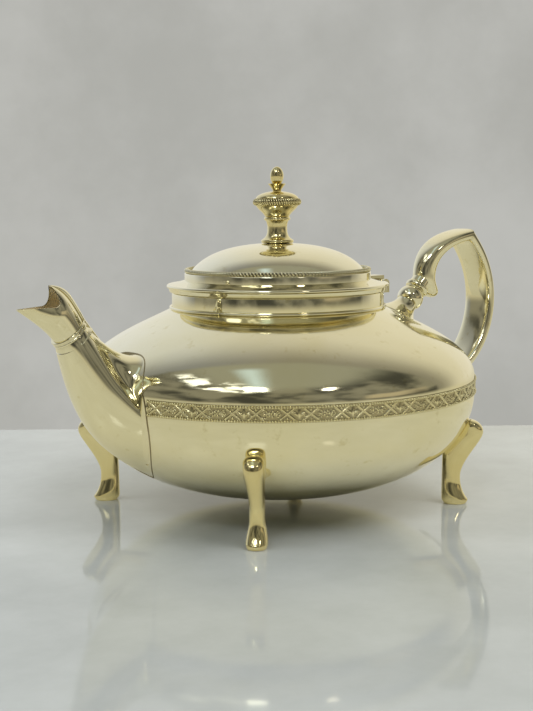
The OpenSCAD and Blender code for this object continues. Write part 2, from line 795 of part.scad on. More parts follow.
// A plate that is soldered to the collar under the lid's rim, with an arm and a knuckle on
// each side of the lid's knuckle
module hinge_pot_leaf() {
    plate_top = min(hinge_z - knuckle_r, rim_z) - knuckle_gap;
    plate_out = hinge_x - knuckle_r - 2 * knuckle_gap;
    color(PLATE) on_axis() difference() {
        union() {
            translate([0, -leaf_w / 2, plate_top - leaf_t]) cube([plate_out, leaf_w, leaf_t]);
            for (y = [-leaf_w / 2, leaf_w / 2 - pot_knuckle_w]) {
                translate([hinge_x, y, hinge_z]) rotate([-90, 0, 0])
                    cylinder(r = knuckle_r, h = pot_knuckle_w, $fn = 48);
                translate([0, y, plate_top - leaf_t]) cube([hinge_x, pot_knuckle_w, leaf_t]);
                translate([hinge_x - knuckle_r, y, plate_top - leaf_t])
                    cube([2 * knuckle_r, pot_knuckle_w, hinge_z - plate_top + leaf_t]);
            }
        }
        cylinder(r = neck_r, h = 2 * rim_z);
        along_pin(2 * leaf_w) cylinder(r = pin_r, h = 3 * leaf_w, $fn = 32);
    }
}

module hinge_pin() {
    head = 0.5;
    color(PLATE) on_axis() along_pin(leaf_w + 2 * head)
        cylinder(r = pin_r, h = leaf_w + 2 * head, $fn = 32);
}

// A strap that runs out from the step over the lid's rim, with one knuckle under its end
module hinge_lid_leaf() {
    strap_z = hinge_z + knuckle_r - 0.3;
    color(PLATE) on_axis() difference() {
        union() {
            translate([sleeve_r, -lid_knuckle_w / 2, strap_z])
                cube([hinge_x + knuckle_r - sleeve_r, lid_knuckle_w, leaf_t]);
            along_pin(lid_knuckle_w) cylinder(r = knuckle_r, h = lid_knuckle_w, $fn = 48);
        }
        rotate_extrude() lid_rim_profile();
        along_pin(leaf_w) cylinder(r = pin_r + pin_gap, h = 2 * leaf_w, $fn = 32);
    }
}

bowl();
shoulder();
gallery_band();
neck_collar();
neck_wire();
spout_shell();
spout_ring();
spout_lip();
spout_ridge();
handle_saddle();
handle_arm();
handle_back();
handle_lower_boss();
foot_spout_left();
foot_spout_right();
foot_handle_left();
foot_handle_right();
hinge_pot_leaf();
hinge_pin();
hinge_lid_leaf();
lid_cover();
lid_rim();
lid_sleeve();
lid_rope();
finial_stem();
finial_urn();
finial_rope();
finial_bud();
finial_stud();
finial_washer();
finial_nut();
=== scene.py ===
import math
import bpy
import numpy as np
from mathutils import Matrix, Vector


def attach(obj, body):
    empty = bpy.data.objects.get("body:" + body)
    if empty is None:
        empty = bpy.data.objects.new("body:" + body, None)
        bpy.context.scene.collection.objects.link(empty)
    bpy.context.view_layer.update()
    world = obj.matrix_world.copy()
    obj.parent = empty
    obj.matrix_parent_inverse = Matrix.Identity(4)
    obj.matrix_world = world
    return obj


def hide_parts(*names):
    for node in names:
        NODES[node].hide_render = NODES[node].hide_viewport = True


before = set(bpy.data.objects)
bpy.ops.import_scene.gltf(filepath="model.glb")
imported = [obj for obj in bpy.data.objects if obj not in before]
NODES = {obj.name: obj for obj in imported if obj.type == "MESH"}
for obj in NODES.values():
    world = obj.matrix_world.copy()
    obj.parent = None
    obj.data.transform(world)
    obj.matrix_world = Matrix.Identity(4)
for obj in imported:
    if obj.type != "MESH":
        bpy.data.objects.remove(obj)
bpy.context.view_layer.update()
scene = bpy.context.scene
POT, LID = "pot", "lid"
MM = 0.001

# ---- sizes in mm, as in the part
BODY_R, WALL = 85, 1.2
FLOOR_Z, SEAM_Z, FLOOR_R, SHOULDER_Z = 5.5, 53, 74, 86
BOWL_TURN, SHOULDER_TURN, SHOULDER_RUN = 0.31, 14.5, 12.5
STRAINER_D, STRAINER_PITCH, STRAINER_ROWS, STRAINER_COLS, STRAINER_LOW_Z = 3, 5.2, 4, 5, 29
BAND_H, BAND_WIRE_R = 6.6, 0.65
NECK_R, NECK_H, NECK_WIRE_R, NECK_SLOPE, COLLAR_TUCK = 46, 6.7, 0.6, 28, 2
LID_GAP, SLEEVE_GAP, SLEEVE_H, RIM_OUT, RIM_H = 0.3, 0.6, 4.6, 2.2, 4.9
STEP_R, STEP_H, DOME_R, DOME_H, LID_ROPE_R = 40.4, 3.2, 38, 12.4, 0.95
STEM_FOOT_R, WAIST_R, STEM_H = 7.2, 4.3, 9.4
URN_R, URN_H, URN_ROPE_R = 9.9, 12.8, 1.6
BUD_R, BUD_H, STUD_R, STUD_GAP = 2.95, 10.5, 1.5, 0.05
SPOUT_REACH, TIP_Z, SPOUT_LOW, SPOUT_HIGH = 124.5, 91.6, 19.4, 71.5
SPOUT_BASE_W, SPOUT_WALL, LIP_TIP_W = 21.8, 1.1, 2.4
FLUTE, FLUTE_LOW, FLUTE_HIGH, FLUTE_SPREAD = 0.18, 0.66, 0.84, 0.12
UPPER_TAPER, FOOT_POINT, FOOT_SQUARE, OVAL = 0.08, 0.85, 0.34, 0.5
RING_R, RING_W, RING_TILT, RING_TOP, RING_BEAD, RING_BAND_T, RING_FLARE = 6.7, 4.8, 142, 1.4, 0.4, 0.45, 0.36
RIDGE_H, RIDGE_W, RIDGE_TIP_W, RIDGE_FROM, RIDGE_TO, RIDGE_SINK = 2.0, 2.9, 1.2, 0.42, 0.8, 0.6
HANDLE_REACH, HANDLE_TOP_Z, STRAP_T, STRAP_W, STRAP_EDGE = 132.6, 117.4, 5.4, 17, 0.6
ARM_D, ARM_Z, BELLY_Z, BOSS_Z, BOSS_R = 10.8, 95, 83, 36.6, 5.2
ANKLE_R, ANKLE_T, ANKLE_W, KNEE_W, SOLE_W, TOE_OUT = 75, 6.9, 6.2, 8.2, 8.6, 7.4
FOOT_HIGH, FOOT_MID, FOOT_LOW, SHIN_Z, FOOT_SIDE = 36.8, 31, 23.6, 13.4, 0.85

AXIS_X = (SPOUT_REACH - HANDLE_REACH) / 2
BAND_LO, BAND_HI = SEAM_Z - BAND_H / 2, SEAM_Z + BAND_H / 2
RIM_Z = SHOULDER_Z + NECK_H
NECK_IN = NECK_R - WALL
TINY = 1e-6
SAME = 1e-4  # points closer than this are one
BLUNT = 150  # a corner of more degrees than this needs no easing


# ---- curves
def pt(x, y):
    return np.array([x, y], float)


def cos_sin(degrees):
    return math.cos(math.radians(degrees)), math.sin(math.radians(degrees))


def polar(length, degrees):
    return length * pt(*cos_sin(degrees))


def bezier_at(controls, t):
    a, b, c, d = controls
    s = 1 - t
    return s ** 3 * a + 3 * s * s * t * b + 3 * s * t * t * c + t ** 3 * d


def bezier(controls, steps=24):
    controls = [np.array(q, float) for q in controls]
    return [bezier_at(controls, i / steps) for i in range(steps + 1)]


def arc(centre, radius, start, end, steps=16):
    return [pt(*centre) + polar(radius, start + (end - start) * i / steps) for i in range(steps + 1)]


def mix(a, b, t):
    return a + (b - a) * t


def smooth(t):
    c = min(max(t, 0.0), 1.0)
    return c * c * (3 - 2 * c)


def normals(path):
    """Unit normals on the right of a path."""
    d = np.gradient(np.array(path, float), axis=0)
    d /= np.maximum(np.linalg.norm(d, axis=1), 1e-9)[:, None]
    return np.stack([d[:, 1], -d[:, 0]], 1)


def sheet(path, thickness):
    """The outline of a sheet that has the path as one face and its thickness on the path's right."""
    outer = np.array(path, float)
    inner = outer + thickness * normals(outer)
    inner[:, 0] = np.maximum(inner[:, 0], 0)
    return np.concatenate([outer, inner[::-1]])


def clean_loop(loop):
    """The loop without doubled points or points past the axis."""
    out = []
    for q in loop:
        if not out or abs(q[0] - out[-1][0]) + abs(q[1] - out[-1][1]) > SAME:
            out.append((max(float(q[0]), 0.0), float(q[1])))
    if abs(out[0][0] - out[-1][0]) + abs(out[0][1] - out[-1][1]) < SAME:
        out.pop()
    return out


def rounded(loop, radius=0.25, steps=3):
    """The loop with its corners eased, as polishing leaves them."""
    points = [pt(*q) for q in clean_loop(loop)]
    out = []
    for i, corner in enumerate(points):
        back, ahead = points[i - 1] - corner, points[(i + 1) % len(points)] - corner
        back_length, ahead_length = np.linalg.norm(back), np.linalg.norm(ahead)
        cosine = float(back @ ahead) / (back_length * ahead_length)
        angle = math.degrees(math.acos(max(-1, min(1, cosine))))
        if corner[0] < TINY or angle > BLUNT:
            out.append(corner)
            continue
        cut = min(radius, 0.45 * back_length, 0.45 * ahead_length)
        start, end = corner + back / back_length * cut, corner + ahead / ahead_length * cut
        for k in range(steps + 1):
            t = k / steps
            out.append((1 - t) ** 2 * start + 2 * t * (1 - t) * corner + t * t * end)
    return out


BOWL_PATH = bezier([(BODY_R, BAND_LO), (BODY_R, mix(BAND_LO, FLOOR_Z, BOWL_TURN)),
                    (FLOOR_R, FLOOR_Z), (0, FLOOR_Z)], 64)
EDGE = pt(NECK_R, SHOULDER_Z)
SHOULDER_PATH = bezier([(BODY_R, BAND_HI), (BODY_R, BAND_HI + SHOULDER_TURN),
                        EDGE - polar(SHOULDER_RUN, 180 - NECK_SLOPE), EDGE], 64)
BOWL_POINTS = np.array(BOWL_PATH[::-1])
SHOULDER_POINTS = np.array(SHOULDER_PATH)


def body_at(z):
    """The outer radius of the pot's body at a height."""
    if BAND_LO < z < BAND_HI:
        return float(BODY_R)
    radii, heights = BOWL_POINTS.T if z <= BAND_LO else SHOULDER_POINTS.T
    return float(np.interp(z, heights, radii))


# ---- meshes
def add(name, data):
    ob = bpy.data.objects.new(name, data)
    scene.collection.objects.link(ob)
    return ob


def placed(verts, place):
    """Vertices moved from the pot's own axis into the frame; the spout's are mirrored to face -X."""
    v = np.array(verts, float)
    return v * (-1, 1, 1) + (AXIS_X, 0, 0) if place == "spout" else v + (AXIS_X, 0, 0)


def make(name, verts, faces, body, material, place="axis", crease=38, inside=()):
    """A dressed piece. inside lists other materials, each with its first face and the end of its faces."""
    if place == "spout":
        faces = [tuple(reversed(f)) for f in faces]
    mesh = bpy.data.meshes.new(name)
    mesh.from_pydata([tuple(q) for q in placed(verts, place) * MM], [], faces)
    mesh.validate()
    mesh.update()
    ob = add(name, mesh)
    mesh.polygons.foreach_set("use_smooth", [True] * len(mesh.polygons))
    if crease:
        mesh.set_sharp_from_angle(angle=math.radians(crease))
    mesh.materials.append(material)
    for i, (other, first, end) in enumerate(inside, 1):
        mesh.materials.append(other)
        for k in range(first, end):
            mesh.polygons[k].material_index = i
    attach(ob, body)
    return ob


def area(loop):
    p = np.array(loop)
    return 0.5 * np.sum(p[:, 0] * np.roll(p[:, 1], -1) - np.roll(p[:, 0], -1) * p[:, 1])


def lathe_data(loop, segs=240, start=0.0, turn=360.0):
    """A closed (r, z) loop turned about the axis: vertices and faces, facing out."""
    loop = clean_loop(loop)
    if area(loop) < 0:
        loop = loop[::-1]
    full = turn >= 359.99
    columns = segs if full else segs + 1
    angles = [math.radians(start + turn * k / segs) for k in range(columns)]
    verts, rows = [], []
    for r, z in loop:
        first = len(verts)
        if r < TINY:
            rows.append([first] * columns)
            verts.append((0, 0, z))
            continue
        rows.append(list(range(first, first + columns)))
        verts += [(r * math.cos(a), r * math.sin(a), z) for a in angles]
    faces = []
    for i, row in enumerate(rows):
        j = (i + 1) % len(loop)
        if loop[i][0] < TINY and loop[j][0] < TINY:
            continue
        for k in range(segs):
            m = (k + 1) % columns
            face = list(dict.fromkeys((row[k], row[m], rows[j][m], rows[j][k])))
            if len(face) > 2:
                faces.append(face)
    if not full:
        faces.append([row[0] for row in rows][::-1])
        faces.append([row[-1] for row in rows])
    return verts, faces


def lathe(name, loop, body, material, segs=240, crease=38):
    v, f = lathe_data(loop, segs)
    return make(name, v, f, body, material, crease=crease)


def grid_faces(rows, cols, base=0, closed=False):
    """Faces between rows that each close on themselves, and if closed, from the last row to the first."""
    faces = []
    for k in range(rows if closed else rows - 1):
        low, high = base + k * cols, base + (k + 1) % rows * cols
        faces += [(low + i, high + i, high + (i + 1) % cols, low + (i + 1) % cols) for i in range(cols)]
    return faces


def other_way(quads):
    return [(a, d, c, b) for a, b, c, d in quads]


def loft_data(rings):
    """A solid through the rings, closed at both ends."""
    n, m = len(rings[0]), len(rings)
    faces = [tuple(range(n))] + grid_faces(m, n) + [tuple(reversed(range((m - 1) * n, m * n)))]
    return np.concatenate(rings), faces


def tube_data(outer, inner):
    """A tube through two sets of rings: its outer faces, then its inner ones, then those at the ends."""
    n, m = len(outer[0]), len(outer)
    far, last = n * m, n * (m - 1)
    faces = grid_faces(m, n) + [q[::-1] for q in grid_faces(m, n, far)]
    for i in range(n):
        j = (i + 1) % n
        faces.append((i, j, far + j, far + i))
        faces.append((last + j, last + i, far + last + i, far + last + j))
    return np.concatenate(list(outer) + list(inner)), faces


def oval(low, high, half_w, square=1.0, count=48):
    """A section between two points of the side view. Squareness 1 is an oval, and less is boxier."""
    ring = []
    for i in range(count):
        a = 2 * math.pi * i / count
        c, s = math.cos(a), math.sin(a)
        along = math.copysign(abs(c) ** square, c)
        across = math.copysign(abs(s) ** square, s)
        p = mix(low, high, (1 - along) / 2)
        ring.append((p[0], half_w * across, p[1]))
    return np.array(ring)


def leant(verts, degrees, origin):
    """Vertices turned from +Z towards +X and moved to a point of the side view."""
    v = np.array(verts)
    c, s = cos_sin(degrees)
    x, z = v[:, 0] * c + v[:, 2] * s, -v[:, 0] * s + v[:, 2] * c
    return np.stack([x + origin[0], v[:, 1], z + origin[1]], 1)


def outward(verts, faces):
    """The faces of a closed mesh, turned outward if they all face in."""
    v = np.array(verts, float)
    volume = 0.0
    for f in faces:
        for k in range(1, len(f) - 1):
            volume += float(np.dot(v[f[0]], np.cross(v[f[k]], v[f[k + 1]])))
    return faces if volume > 0 else [tuple(reversed(f)) for f in faces]


def cutter(name, near, far, place="axis"):
    """A prism between two outlines, to be cut out of a piece."""
    n = len(near)
    walls = [(k, n + k, n + (k + 1) % n, (k + 1) % n) for k in range(n)]
    if place == "spout":  # these wind against the ends, and so the cut leaves the lip's rim open
        walls = other_way(walls)
    faces = [tuple(range(n)), tuple(range(2 * n - 1, n - 1, -1))] + walls
    v = placed(near + far, place)
    mesh = bpy.data.meshes.new(name)
    mesh.from_pydata([tuple(q) for q in v * MM], [], outward(v, faces))
    mesh.update()
    return add(name, mesh)


def cut_away(ob, cutters):
    """Cuts the cutters out of ob and deletes them."""
    for c in cutters:
        m = ob.modifiers.new("cut", "BOOLEAN")
        m.object, m.operation, m.solver = c, "DIFFERENCE", "EXACT"
    bpy.context.view_layer.update()
    graph = bpy.context.evaluated_depsgraph_get()
    mesh = bpy.data.meshes.new_from_object(ob.evaluated_get(graph))
    ob.modifiers.clear()
    old = ob.data
    ob.data = mesh
    mesh.name = ob.name
    bpy.data.meshes.remove(old)
    for c in cutters:
        bpy.data.objects.remove(c)


# ---- shader nodes
BLACK, WHITE = (0, 0, 0), (1, 1, 1)


def node(tree, kind, inputs=(), **settings):
    """A shader node with its settings and inputs. An input that is given a socket is linked to it."""
    made = tree.nodes.new(kind)
    for key, value in settings.items():
        setattr(made, key, value)
    for key, value in dict(inputs).items():
        if isinstance(value, bpy.types.NodeSocket):
            tree.links.new(value, made.inputs[key])
        else:
            made.inputs[key].default_value = value
    return made


def noise(tree, place, scale, detail=2, roughness=0.5, distortion=0.0):
    inputs = {"Vector": place, "Scale": scale, "Detail": detail, "Roughness": roughness,
              "Distortion": distortion}
    return node(tree, "ShaderNodeTexNoise", inputs).outputs["Fac"]


def ramp(tree, factor, *stops):
    """A colour ramp through (position, colour) stops."""
    made = node(tree, "ShaderNodeValToRGB", {0: factor})
    points = made.color_ramp.elements
    while len(points) < len(stops):
        points.new(0.5)
    for point, (position, colour) in zip(points, stops):
        point.position, point.color = position, (*colour, 1)
    return made.outputs[0]


def blend(tree, a, b, factor, kind="MIX"):
    """a where the factor is 0, b where it is 1."""
    a, b = ((*x, 1) if isinstance(x, tuple) else x for x in (a, b))
    inputs = {"Factor": factor, "A": a, "B": b}
    return node(tree, "ShaderNodeMix", inputs, data_type="RGBA", blend_type=kind).outputs["Result"]


def ranged(tree, value, low, high, to=(0, 1), shape="SMOOTHSTEP"):
    """The value's place between low and high, as a number between the two in to."""
    inputs = {"Value": value, "From Min": low, "From Max": high, "To Min": to[0], "To Max": to[1]}
    return node(tree, "ShaderNodeMapRange", inputs, interpolation_type=shape).outputs[0]


def calc(tree, operation, *values):
    return node(tree, "ShaderNodeMath", enumerate(values), operation=operation).outputs[0]


# ---- metals
def how_far_out(tree, place, near, far):
    """0 to 1 as the distance from the pot's axis goes from near to far, in mm."""
    inputs = {0: place, 1: (1, 1, 0), 2: (-AXIS_X * MM, 0, 0)}
    flat = node(tree, "ShaderNodeVectorMath", inputs, operation="MULTIPLY_ADD").outputs[0]
    distance = node(tree, "ShaderNodeVectorMath", {0: flat}, operation="LENGTH").outputs["Value"]
    return ranged(tree, distance, near * MM, far * MM, shape="LINEAR")


def skin_normal(tree, place, wave):
    """A slightly uneven skin, wave metres deep, with hairline scratches over it."""
    uneven = noise(tree, place, scale=34, roughness=0.4)
    skin = node(tree, "ShaderNodeBump", {"Strength": 1.0, "Distance": wave, "Height": uneven}).outputs[0]
    drawn_out = {"Vector": place, "Scale": (1, 1, 0.06), "Rotation": (0.5, 0.2, 0.3)}
    hairs = noise(tree, node(tree, "ShaderNodeMapping", drawn_out).outputs[0], scale=900)
    scratches = {"Strength": 0.09, "Distance": 0.00005, "Height": hairs, "Normal": skin}
    return node(tree, "ShaderNodeBump", scratches).outputs[0]


def metal(name, bright, worn, stain, rough, wave, painted_hollow_shade=0.4, hollows=(0.40, 0.485), raised=None, dark=0.4,
          metallic=1.0):
    """Polished plate: tarnish in soft clouds, stained flecks, and painted shade that darkens the hollows.

    The hollows are where the mesh's pointiness is low, or where raised gives two distances from the
    pot's axis, what lies nearer to it.
    """
    material = bpy.data.materials.new(name)
    material.use_nodes = True
    tree = material.node_tree
    tree.nodes.clear()
    place = node(tree, "ShaderNodeTexCoord").outputs["Object"]
    cloud = noise(tree, place, scale=26, detail=4, roughness=0.55, distortion=0.4)
    fleck = noise(tree, place, scale=190, detail=5, roughness=0.7)
    tarnished = ramp(tree, cloud, (0.36, bright), (0.66, worn))
    stained = blend(tree, tarnished, stain, ramp(tree, fleck, (0.6, BLACK), (0.74, WHITE)))
    if raised:
        outness, hollows = how_far_out(tree, place, *raised), (0.0, 1.0)
    else:
        outness = node(tree, "ShaderNodeNewGeometry").outputs["Pointiness"]
    # Painted shade: the hollows are darkened towards a dim, warm copy of the stain colour.
    hollow = ramp(tree, outness, (hollows[0], (painted_hollow_shade,) * 3), (hollows[1], BLACK))
    painted_shade_colour = tuple(s * dark * warm for s, warm in zip(stain, (1, 0.96, 0.88)))
    rubbed = noise(tree, place, scale=48, detail=6, roughness=0.6)
    shader = node(tree, "ShaderNodeBsdfPrincipled", {
        "Metallic": metallic,
        "Base Color": blend(tree, stained, painted_shade_colour, hollow),
        "Roughness": ranged(tree, rubbed, 0.35, 0.7, rough, "LINEAR"),
        "Normal": skin_normal(tree, place, wave)})
    node(tree, "ShaderNodeOutputMaterial", {0: shader.outputs[0]})
    return material


STRANDS = (0.485, 0.53)  # pointiness from a rope's grooves to its strands
PLATE = metal("plate_polish", bright=(0.93, 0.88, 0.66), worn=(0.91, 0.85, 0.59), stain=(0.80, 0.72, 0.45),
              rough=(0.05, 0.11), wave=0.00022)
# Painted light: a paler copy of the same plate, for the lid's upturned dome.
PLATE_PAINTED_LIGHTER = metal("plate_painted_lighter", bright=(0.94, 0.90, 0.70), worn=(0.92, 0.86, 0.62), stain=(0.82, 0.74, 0.50),
              rough=(0.06, 0.12), wave=0.00018)
GILT = metal("gilt_polish", bright=(0.88, 0.79, 0.46), worn=(0.83, 0.72, 0.38), stain=(0.62, 0.50, 0.24),
             rough=(0.06, 0.14), wave=0.00012)
# The ropes' grooves between the strands are painted nearly black: painted shade in the crevices.
ROPE = metal("plate_rope", bright=(0.94, 0.90, 0.68), worn=(0.91, 0.85, 0.58), stain=(0.70, 0.62, 0.38),
             rough=(0.08, 0.14), wave=0.00002, painted_hollow_shade=1.0, hollows=STRANDS, dark=0.1)
GILT_ROPE = metal("gilt_rope", bright=(0.90, 0.81, 0.48), worn=(0.85, 0.74, 0.40), stain=(0.62, 0.50, 0.24),
                  rough=(0.08, 0.14), wave=0.00002, painted_hollow_shade=1.0, hollows=STRANDS, dark=0.12)
INSIDE = metal("plate_inside", bright=(0.92, 0.83, 0.60), worn=(0.86, 0.75, 0.50), stain=(0.66, 0.54, 0.34),
               rough=(0.5, 0.66), wave=0.0002, painted_hollow_shade=0.1, metallic=0.3)
SOLDER = metal("solder_line", bright=(0.46, 0.40, 0.26), worn=(0.36, 0.30, 0.18), stain=(0.22, 0.17, 0.09),
               rough=(0.28, 0.45), wave=0.0002, painted_hollow_shade=0.3)
# The band's ground, nearer the axis than the raised ornament, is painted darker: painted shade between the
# relief.
BAND_METAL = metal("band_relief", bright=(0.92, 0.86, 0.58), worn=(0.87, 0.79, 0.48),
                   stain=(0.66, 0.56, 0.30), rough=(0.09, 0.16), wave=0.00002, painted_hollow_shade=0.72,
                   raised=(BODY_R + 0.04, BODY_R + 0.40))

# ---- bowl, shoulder and neck
HOLE_NEAR, HOLE_FAR = -60, -90  # the ends of the strainer's cutters along X
HOLE_SIDES = 24


def strainer_cutters():
    angles = np.linspace(0, 2 * math.pi, HOLE_SIDES, endpoint=False)
    edge = [(math.cos(a) * STRAINER_D / 2, math.sin(a) * STRAINER_D / 2) for a in angles]
    cutters = []
    for row in range(STRAINER_ROWS):
        count = STRAINER_COLS - row % 2
        z = STRAINER_LOW_Z + row * STRAINER_PITCH
        for i in range(count):
            y = (i - (count - 1) / 2) * STRAINER_PITCH
            near, far = ([(x, y + p, z + q) for p, q in edge] for x in (HOLE_NEAR, HOLE_FAR))
            cutters.append(cutter("hole", near, far))
    return cutters


bowl = lathe("bowl_sheet", sheet([pt(BODY_R, SEAM_Z)] + BOWL_PATH, WALL), POT, PLATE, 288)
cut_away(bowl, strainer_cutters())
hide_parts("bowl")

inner_edge = EDGE + polar(2 * WALL, 180 - NECK_SLOPE)
loop = sheet([inner_edge] + SHOULDER_PATH[::-1] + [pt(BODY_R, SEAM_Z)], WALL)
loop = [q for q in loop if q[0] >= NECK_R - TINY]
shoulder = lathe("shoulder_sheet", loop, POT, PLATE, 288)
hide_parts("shoulder")

collar_z = SHOULDER_Z - COLLAR_TUCK
loop = [(NECK_IN, collar_z), (NECK_R, collar_z), (NECK_R, RIM_Z), (NECK_IN, RIM_Z)]
collar = lathe("neck_collar_ring", rounded(loop, 0.35), POT, PLATE)
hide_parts("neck_collar")
slope = math.radians(NECK_SLOPE)
wire_z = SHOULDER_Z + NECK_WIRE_R * (1 / math.cos(slope) - math.tan(slope))
loop = arc((NECK_R + NECK_WIRE_R, wire_z), NECK_WIRE_R, 0, 360, 24)
wire = lathe("neck_wire_ring", loop, POT, PLATE, crease=0)
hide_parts("neck_wire")

# ---- spout
RING_LOW = pt(SPOUT_REACH - 16.5, TIP_Z - 14.4)
RING_HIGH = RING_LOW + polar(2 * RING_R, RING_TILT)
RING_MID = (RING_LOW + RING_HIGH) / 2
FOOT_UNDER, FOOT_BACK = pt(body_at(SPOUT_LOW), SPOUT_LOW), pt(body_at(SPOUT_HIGH), SPOUT_HIGH)
UNDER = [FOOT_UNDER, FOOT_UNDER + polar(31, 16), RING_LOW - polar(33, 77), RING_LOW]
BACK = [FOOT_BACK, FOOT_BACK + polar(13.5, -8), RING_HIGH - polar(14, 52), RING_HIGH]
TIP = pt(SPOUT_REACH, TIP_Z)
HOOD = pt(SPOUT_REACH - 9.5, TIP_Z + 9.1)
LIP_UNDER = [RING_LOW, RING_LOW + polar(6, 60), TIP - polar(8, 35), TIP]
LIP_BACK = [RING_HIGH, RING_HIGH + polar(10, 60), HOOD + pt(-9, 0.9), HOOD]
SPOUT_SIDES = 96  # points round a section of the spout
SPOUT_STEPS, LIP_STEPS = 56, 36
SOLDER_R, SOLDER_SIDES = 0.32, 10


def spout_w(t, s, w):
    """Half the spout's width: t runs from the bowl to the ring, and s from the underside to the back."""
    fluted = smooth(t * 3) * smooth((1 - t) * 2.2)
    from_flute = (s - mix(FLUTE_LOW, FLUTE_HIGH, t)) / FLUTE_SPREAD
    square = mix(FOOT_POINT if s < 0.5 else FOOT_SQUARE, OVAL, smooth(t * 1.6))
    taper = 1 - fluted * UPPER_TAPER * smooth(from_flute / 2 + 0.5)
    flute = 1 - fluted * FLUTE * math.exp(-from_flute ** 2)
    return w * (4 * max(s * (1 - s), 0)) ** square * taper * flute


def spout_foot_w(z):
    return spout_w(0, (z - SPOUT_LOW) / (SPOUT_HIGH - SPOUT_LOW), SPOUT_BASE_W)


def spout_mid_w(t):
    return mix(RING_R, SPOUT_BASE_W, (1 - t) ** 0.75)


def spout_section(t, inset):
    """A section of the spout, which bends on to the round body towards the bowl."""
    low, high = bezier_at(UNDER, t), bezier_at(BACK, t)
    inward = inset * (high - low) / np.linalg.norm(high - low)
    a, b = low + inward, high - inward
    ring = []
    for i in range(SPOUT_SIDES):
        turn = 2 * math.pi * i / SPOUT_SIDES
        s = (1 - math.cos(turn)) / 2
        x, z = mix(a, b, s)
        half_w = spout_w(t, s, spout_mid_w(t) - inset)
        y = math.copysign(1, math.sin(turn)) * half_w if i not in (0, SPOUT_SIDES // 2) else 0.0
        bulge = math.sqrt(max(body_at(z) ** 2 - y * y, 0)) - x
        ring.append((x + (1 - t) ** 2 * bulge, y, z))
    return np.array(ring)


def lip_section(t, inset):
    low, high = bezier_at(LIP_UNDER, t), bezier_at(LIP_BACK, t)
    inward = inset * (high - low) / np.linalg.norm(high - low)
    half_w = mix(RING_R, LIP_TIP_W, smooth((t - 0.4) / 0.6)) - inset
    return oval(low + inward, high - inward, half_w, 1, SPOUT_SIDES)


def hollow_loft(section, steps):
    outer, inner = ([section(k / steps, inset) for k in range(steps + 1)] for inset in (0, SPOUT_WALL))
    return tube_data(outer, inner)


def solder_line(seam):
    """A thin round line of solder along the seam between spout and body."""
    verts = []
    for i in range(SPOUT_SIDES):
        along = seam[(i + 1) % SPOUT_SIDES] - seam[i - 1]
        along /= np.linalg.norm(along)
        proud = np.array([seam[i][0], seam[i][1], 0]) / np.hypot(seam[i][0], seam[i][1])
        across = np.cross(along, proud)
        for k in range(SOLDER_SIDES):
            a = 2 * math.pi * k / SOLDER_SIDES
            verts.append(seam[i] + SOLDER_R * (math.cos(a) * across + math.sin(a) * proud))
    return verts, outward(verts, other_way(grid_faces(SPOUT_SIDES, SOLDER_SIDES, closed=True)))


def spout_shell():
    v, f = hollow_loft(spout_section, SPOUT_STEPS)
    solder_v, solder_f = solder_line(spout_section(0, 0))
    wall_faces, all_faces = SPOUT_SIDES * SPOUT_STEPS, len(f)
    f += [tuple(len(v) + q for q in face) for face in solder_f]
    inside = [(INSIDE, wall_faces, 2 * wall_faces), (SOLDER, all_faces, len(f))]
    return make("spout_shell_skin", np.concatenate([v, solder_v]), f, POT, PLATE, "spout", 40, inside)


def mouth_cutter():
    """What is cut off the lip to open it: a hollow curve at the back, then a straight line."""
    back, front = pt(SPOUT_REACH - 15.2, TIP_Z + 0.6), pt(SPOUT_REACH + 10, TIP_Z + 0.2)
    top = back + pt(2.6, 9.8)
    outline = bezier([top, back + pt(-1, 5.6), back + pt(-2, 0.6), back + pt(1.6, 0)])
    outline += [front, front + pt(0, 20), top + pt(0, 8)]
    half_w = 14
    return cutter("mouth", *([(x, y, z) for x, z in outline] for y in (-half_w, half_w)), "spout")


def spout_lip():
    v, f = hollow_loft(lip_section, LIP_STEPS)
    wall_faces = SPOUT_SIDES * LIP_STEPS
    ob = make("spout_lip_skin", v, f, POT, PLATE, "spout", 40, [(INSIDE, wall_faces, 2 * wall_faces)])
    cut_away(ob, [mouth_cutter()])
    return ob


def ring_band():
    """The moulded band under the lip: two beads, a hollow and a flare, open behind for the ridge."""
    out, low, inner = RING_R + RING_BAND_T, RING_TOP - RING_W, RING_R - 0.9
    flare = out + RING_FLARE * (RING_W - RING_TOP)
    outline = [pt(inner, RING_TOP)] + arc((out, RING_TOP - RING_BEAD), RING_BEAD, 90, -60, 10)
    outline += arc((out, -RING_BEAD), RING_BEAD, 60, -90, 10)
    outline += bezier([(out - 0.05, -0.85), (out - 0.3, -1.9), (out + 0.1, low + 1.0),
                       (flare - 0.15, low + 0.3)], 16)
    outline += [pt(flare, low + 0.15), pt(flare, low), pt(inner, low)]
    gap = math.degrees(math.asin(3.0 / RING_R))
    v, f = lathe_data(outline, 120, 180 + gap, 360 - 2 * gap)
    return make("spout_ring_band", leant(v, 180 - RING_TILT, RING_MID), f, POT, PLATE, "spout", 40)


def spout_ridge():
    """The rib along the back of the spout, over the ring and up the lip."""
    path = [bezier_at(BACK, mix(RIDGE_FROM, 1, k / 28)) for k in range(28)]
    path += [bezier_at(LIP_BACK, RIDGE_TO * k / 24) for k in range(25)]
    last = len(path) - 1
    rings = []
    for i, (q, out) in enumerate(zip(path, -normals(path))):
        fade = smooth(4 * min(i + 1.6, last - i + 2.4) / last)
        half_w = mix(RIDGE_W, RIDGE_TIP_W, i / last) * mix(0.5, 1, fade)
        rings.append(oval(q - RIDGE_SINK * out, q + RIDGE_H * fade * out, half_w, 1.4, 32))
    v, f = loft_data(rings)
    return make("spout_ridge_rib", v, f, POT, PLATE, "spout", 50)


shell = spout_shell()
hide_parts("spout_shell")
lip = spout_lip()
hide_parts("spout_lip")
ring = ring_band()
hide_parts("spout_ring")
ridge = spout_ridge()
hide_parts("spout_ridge")

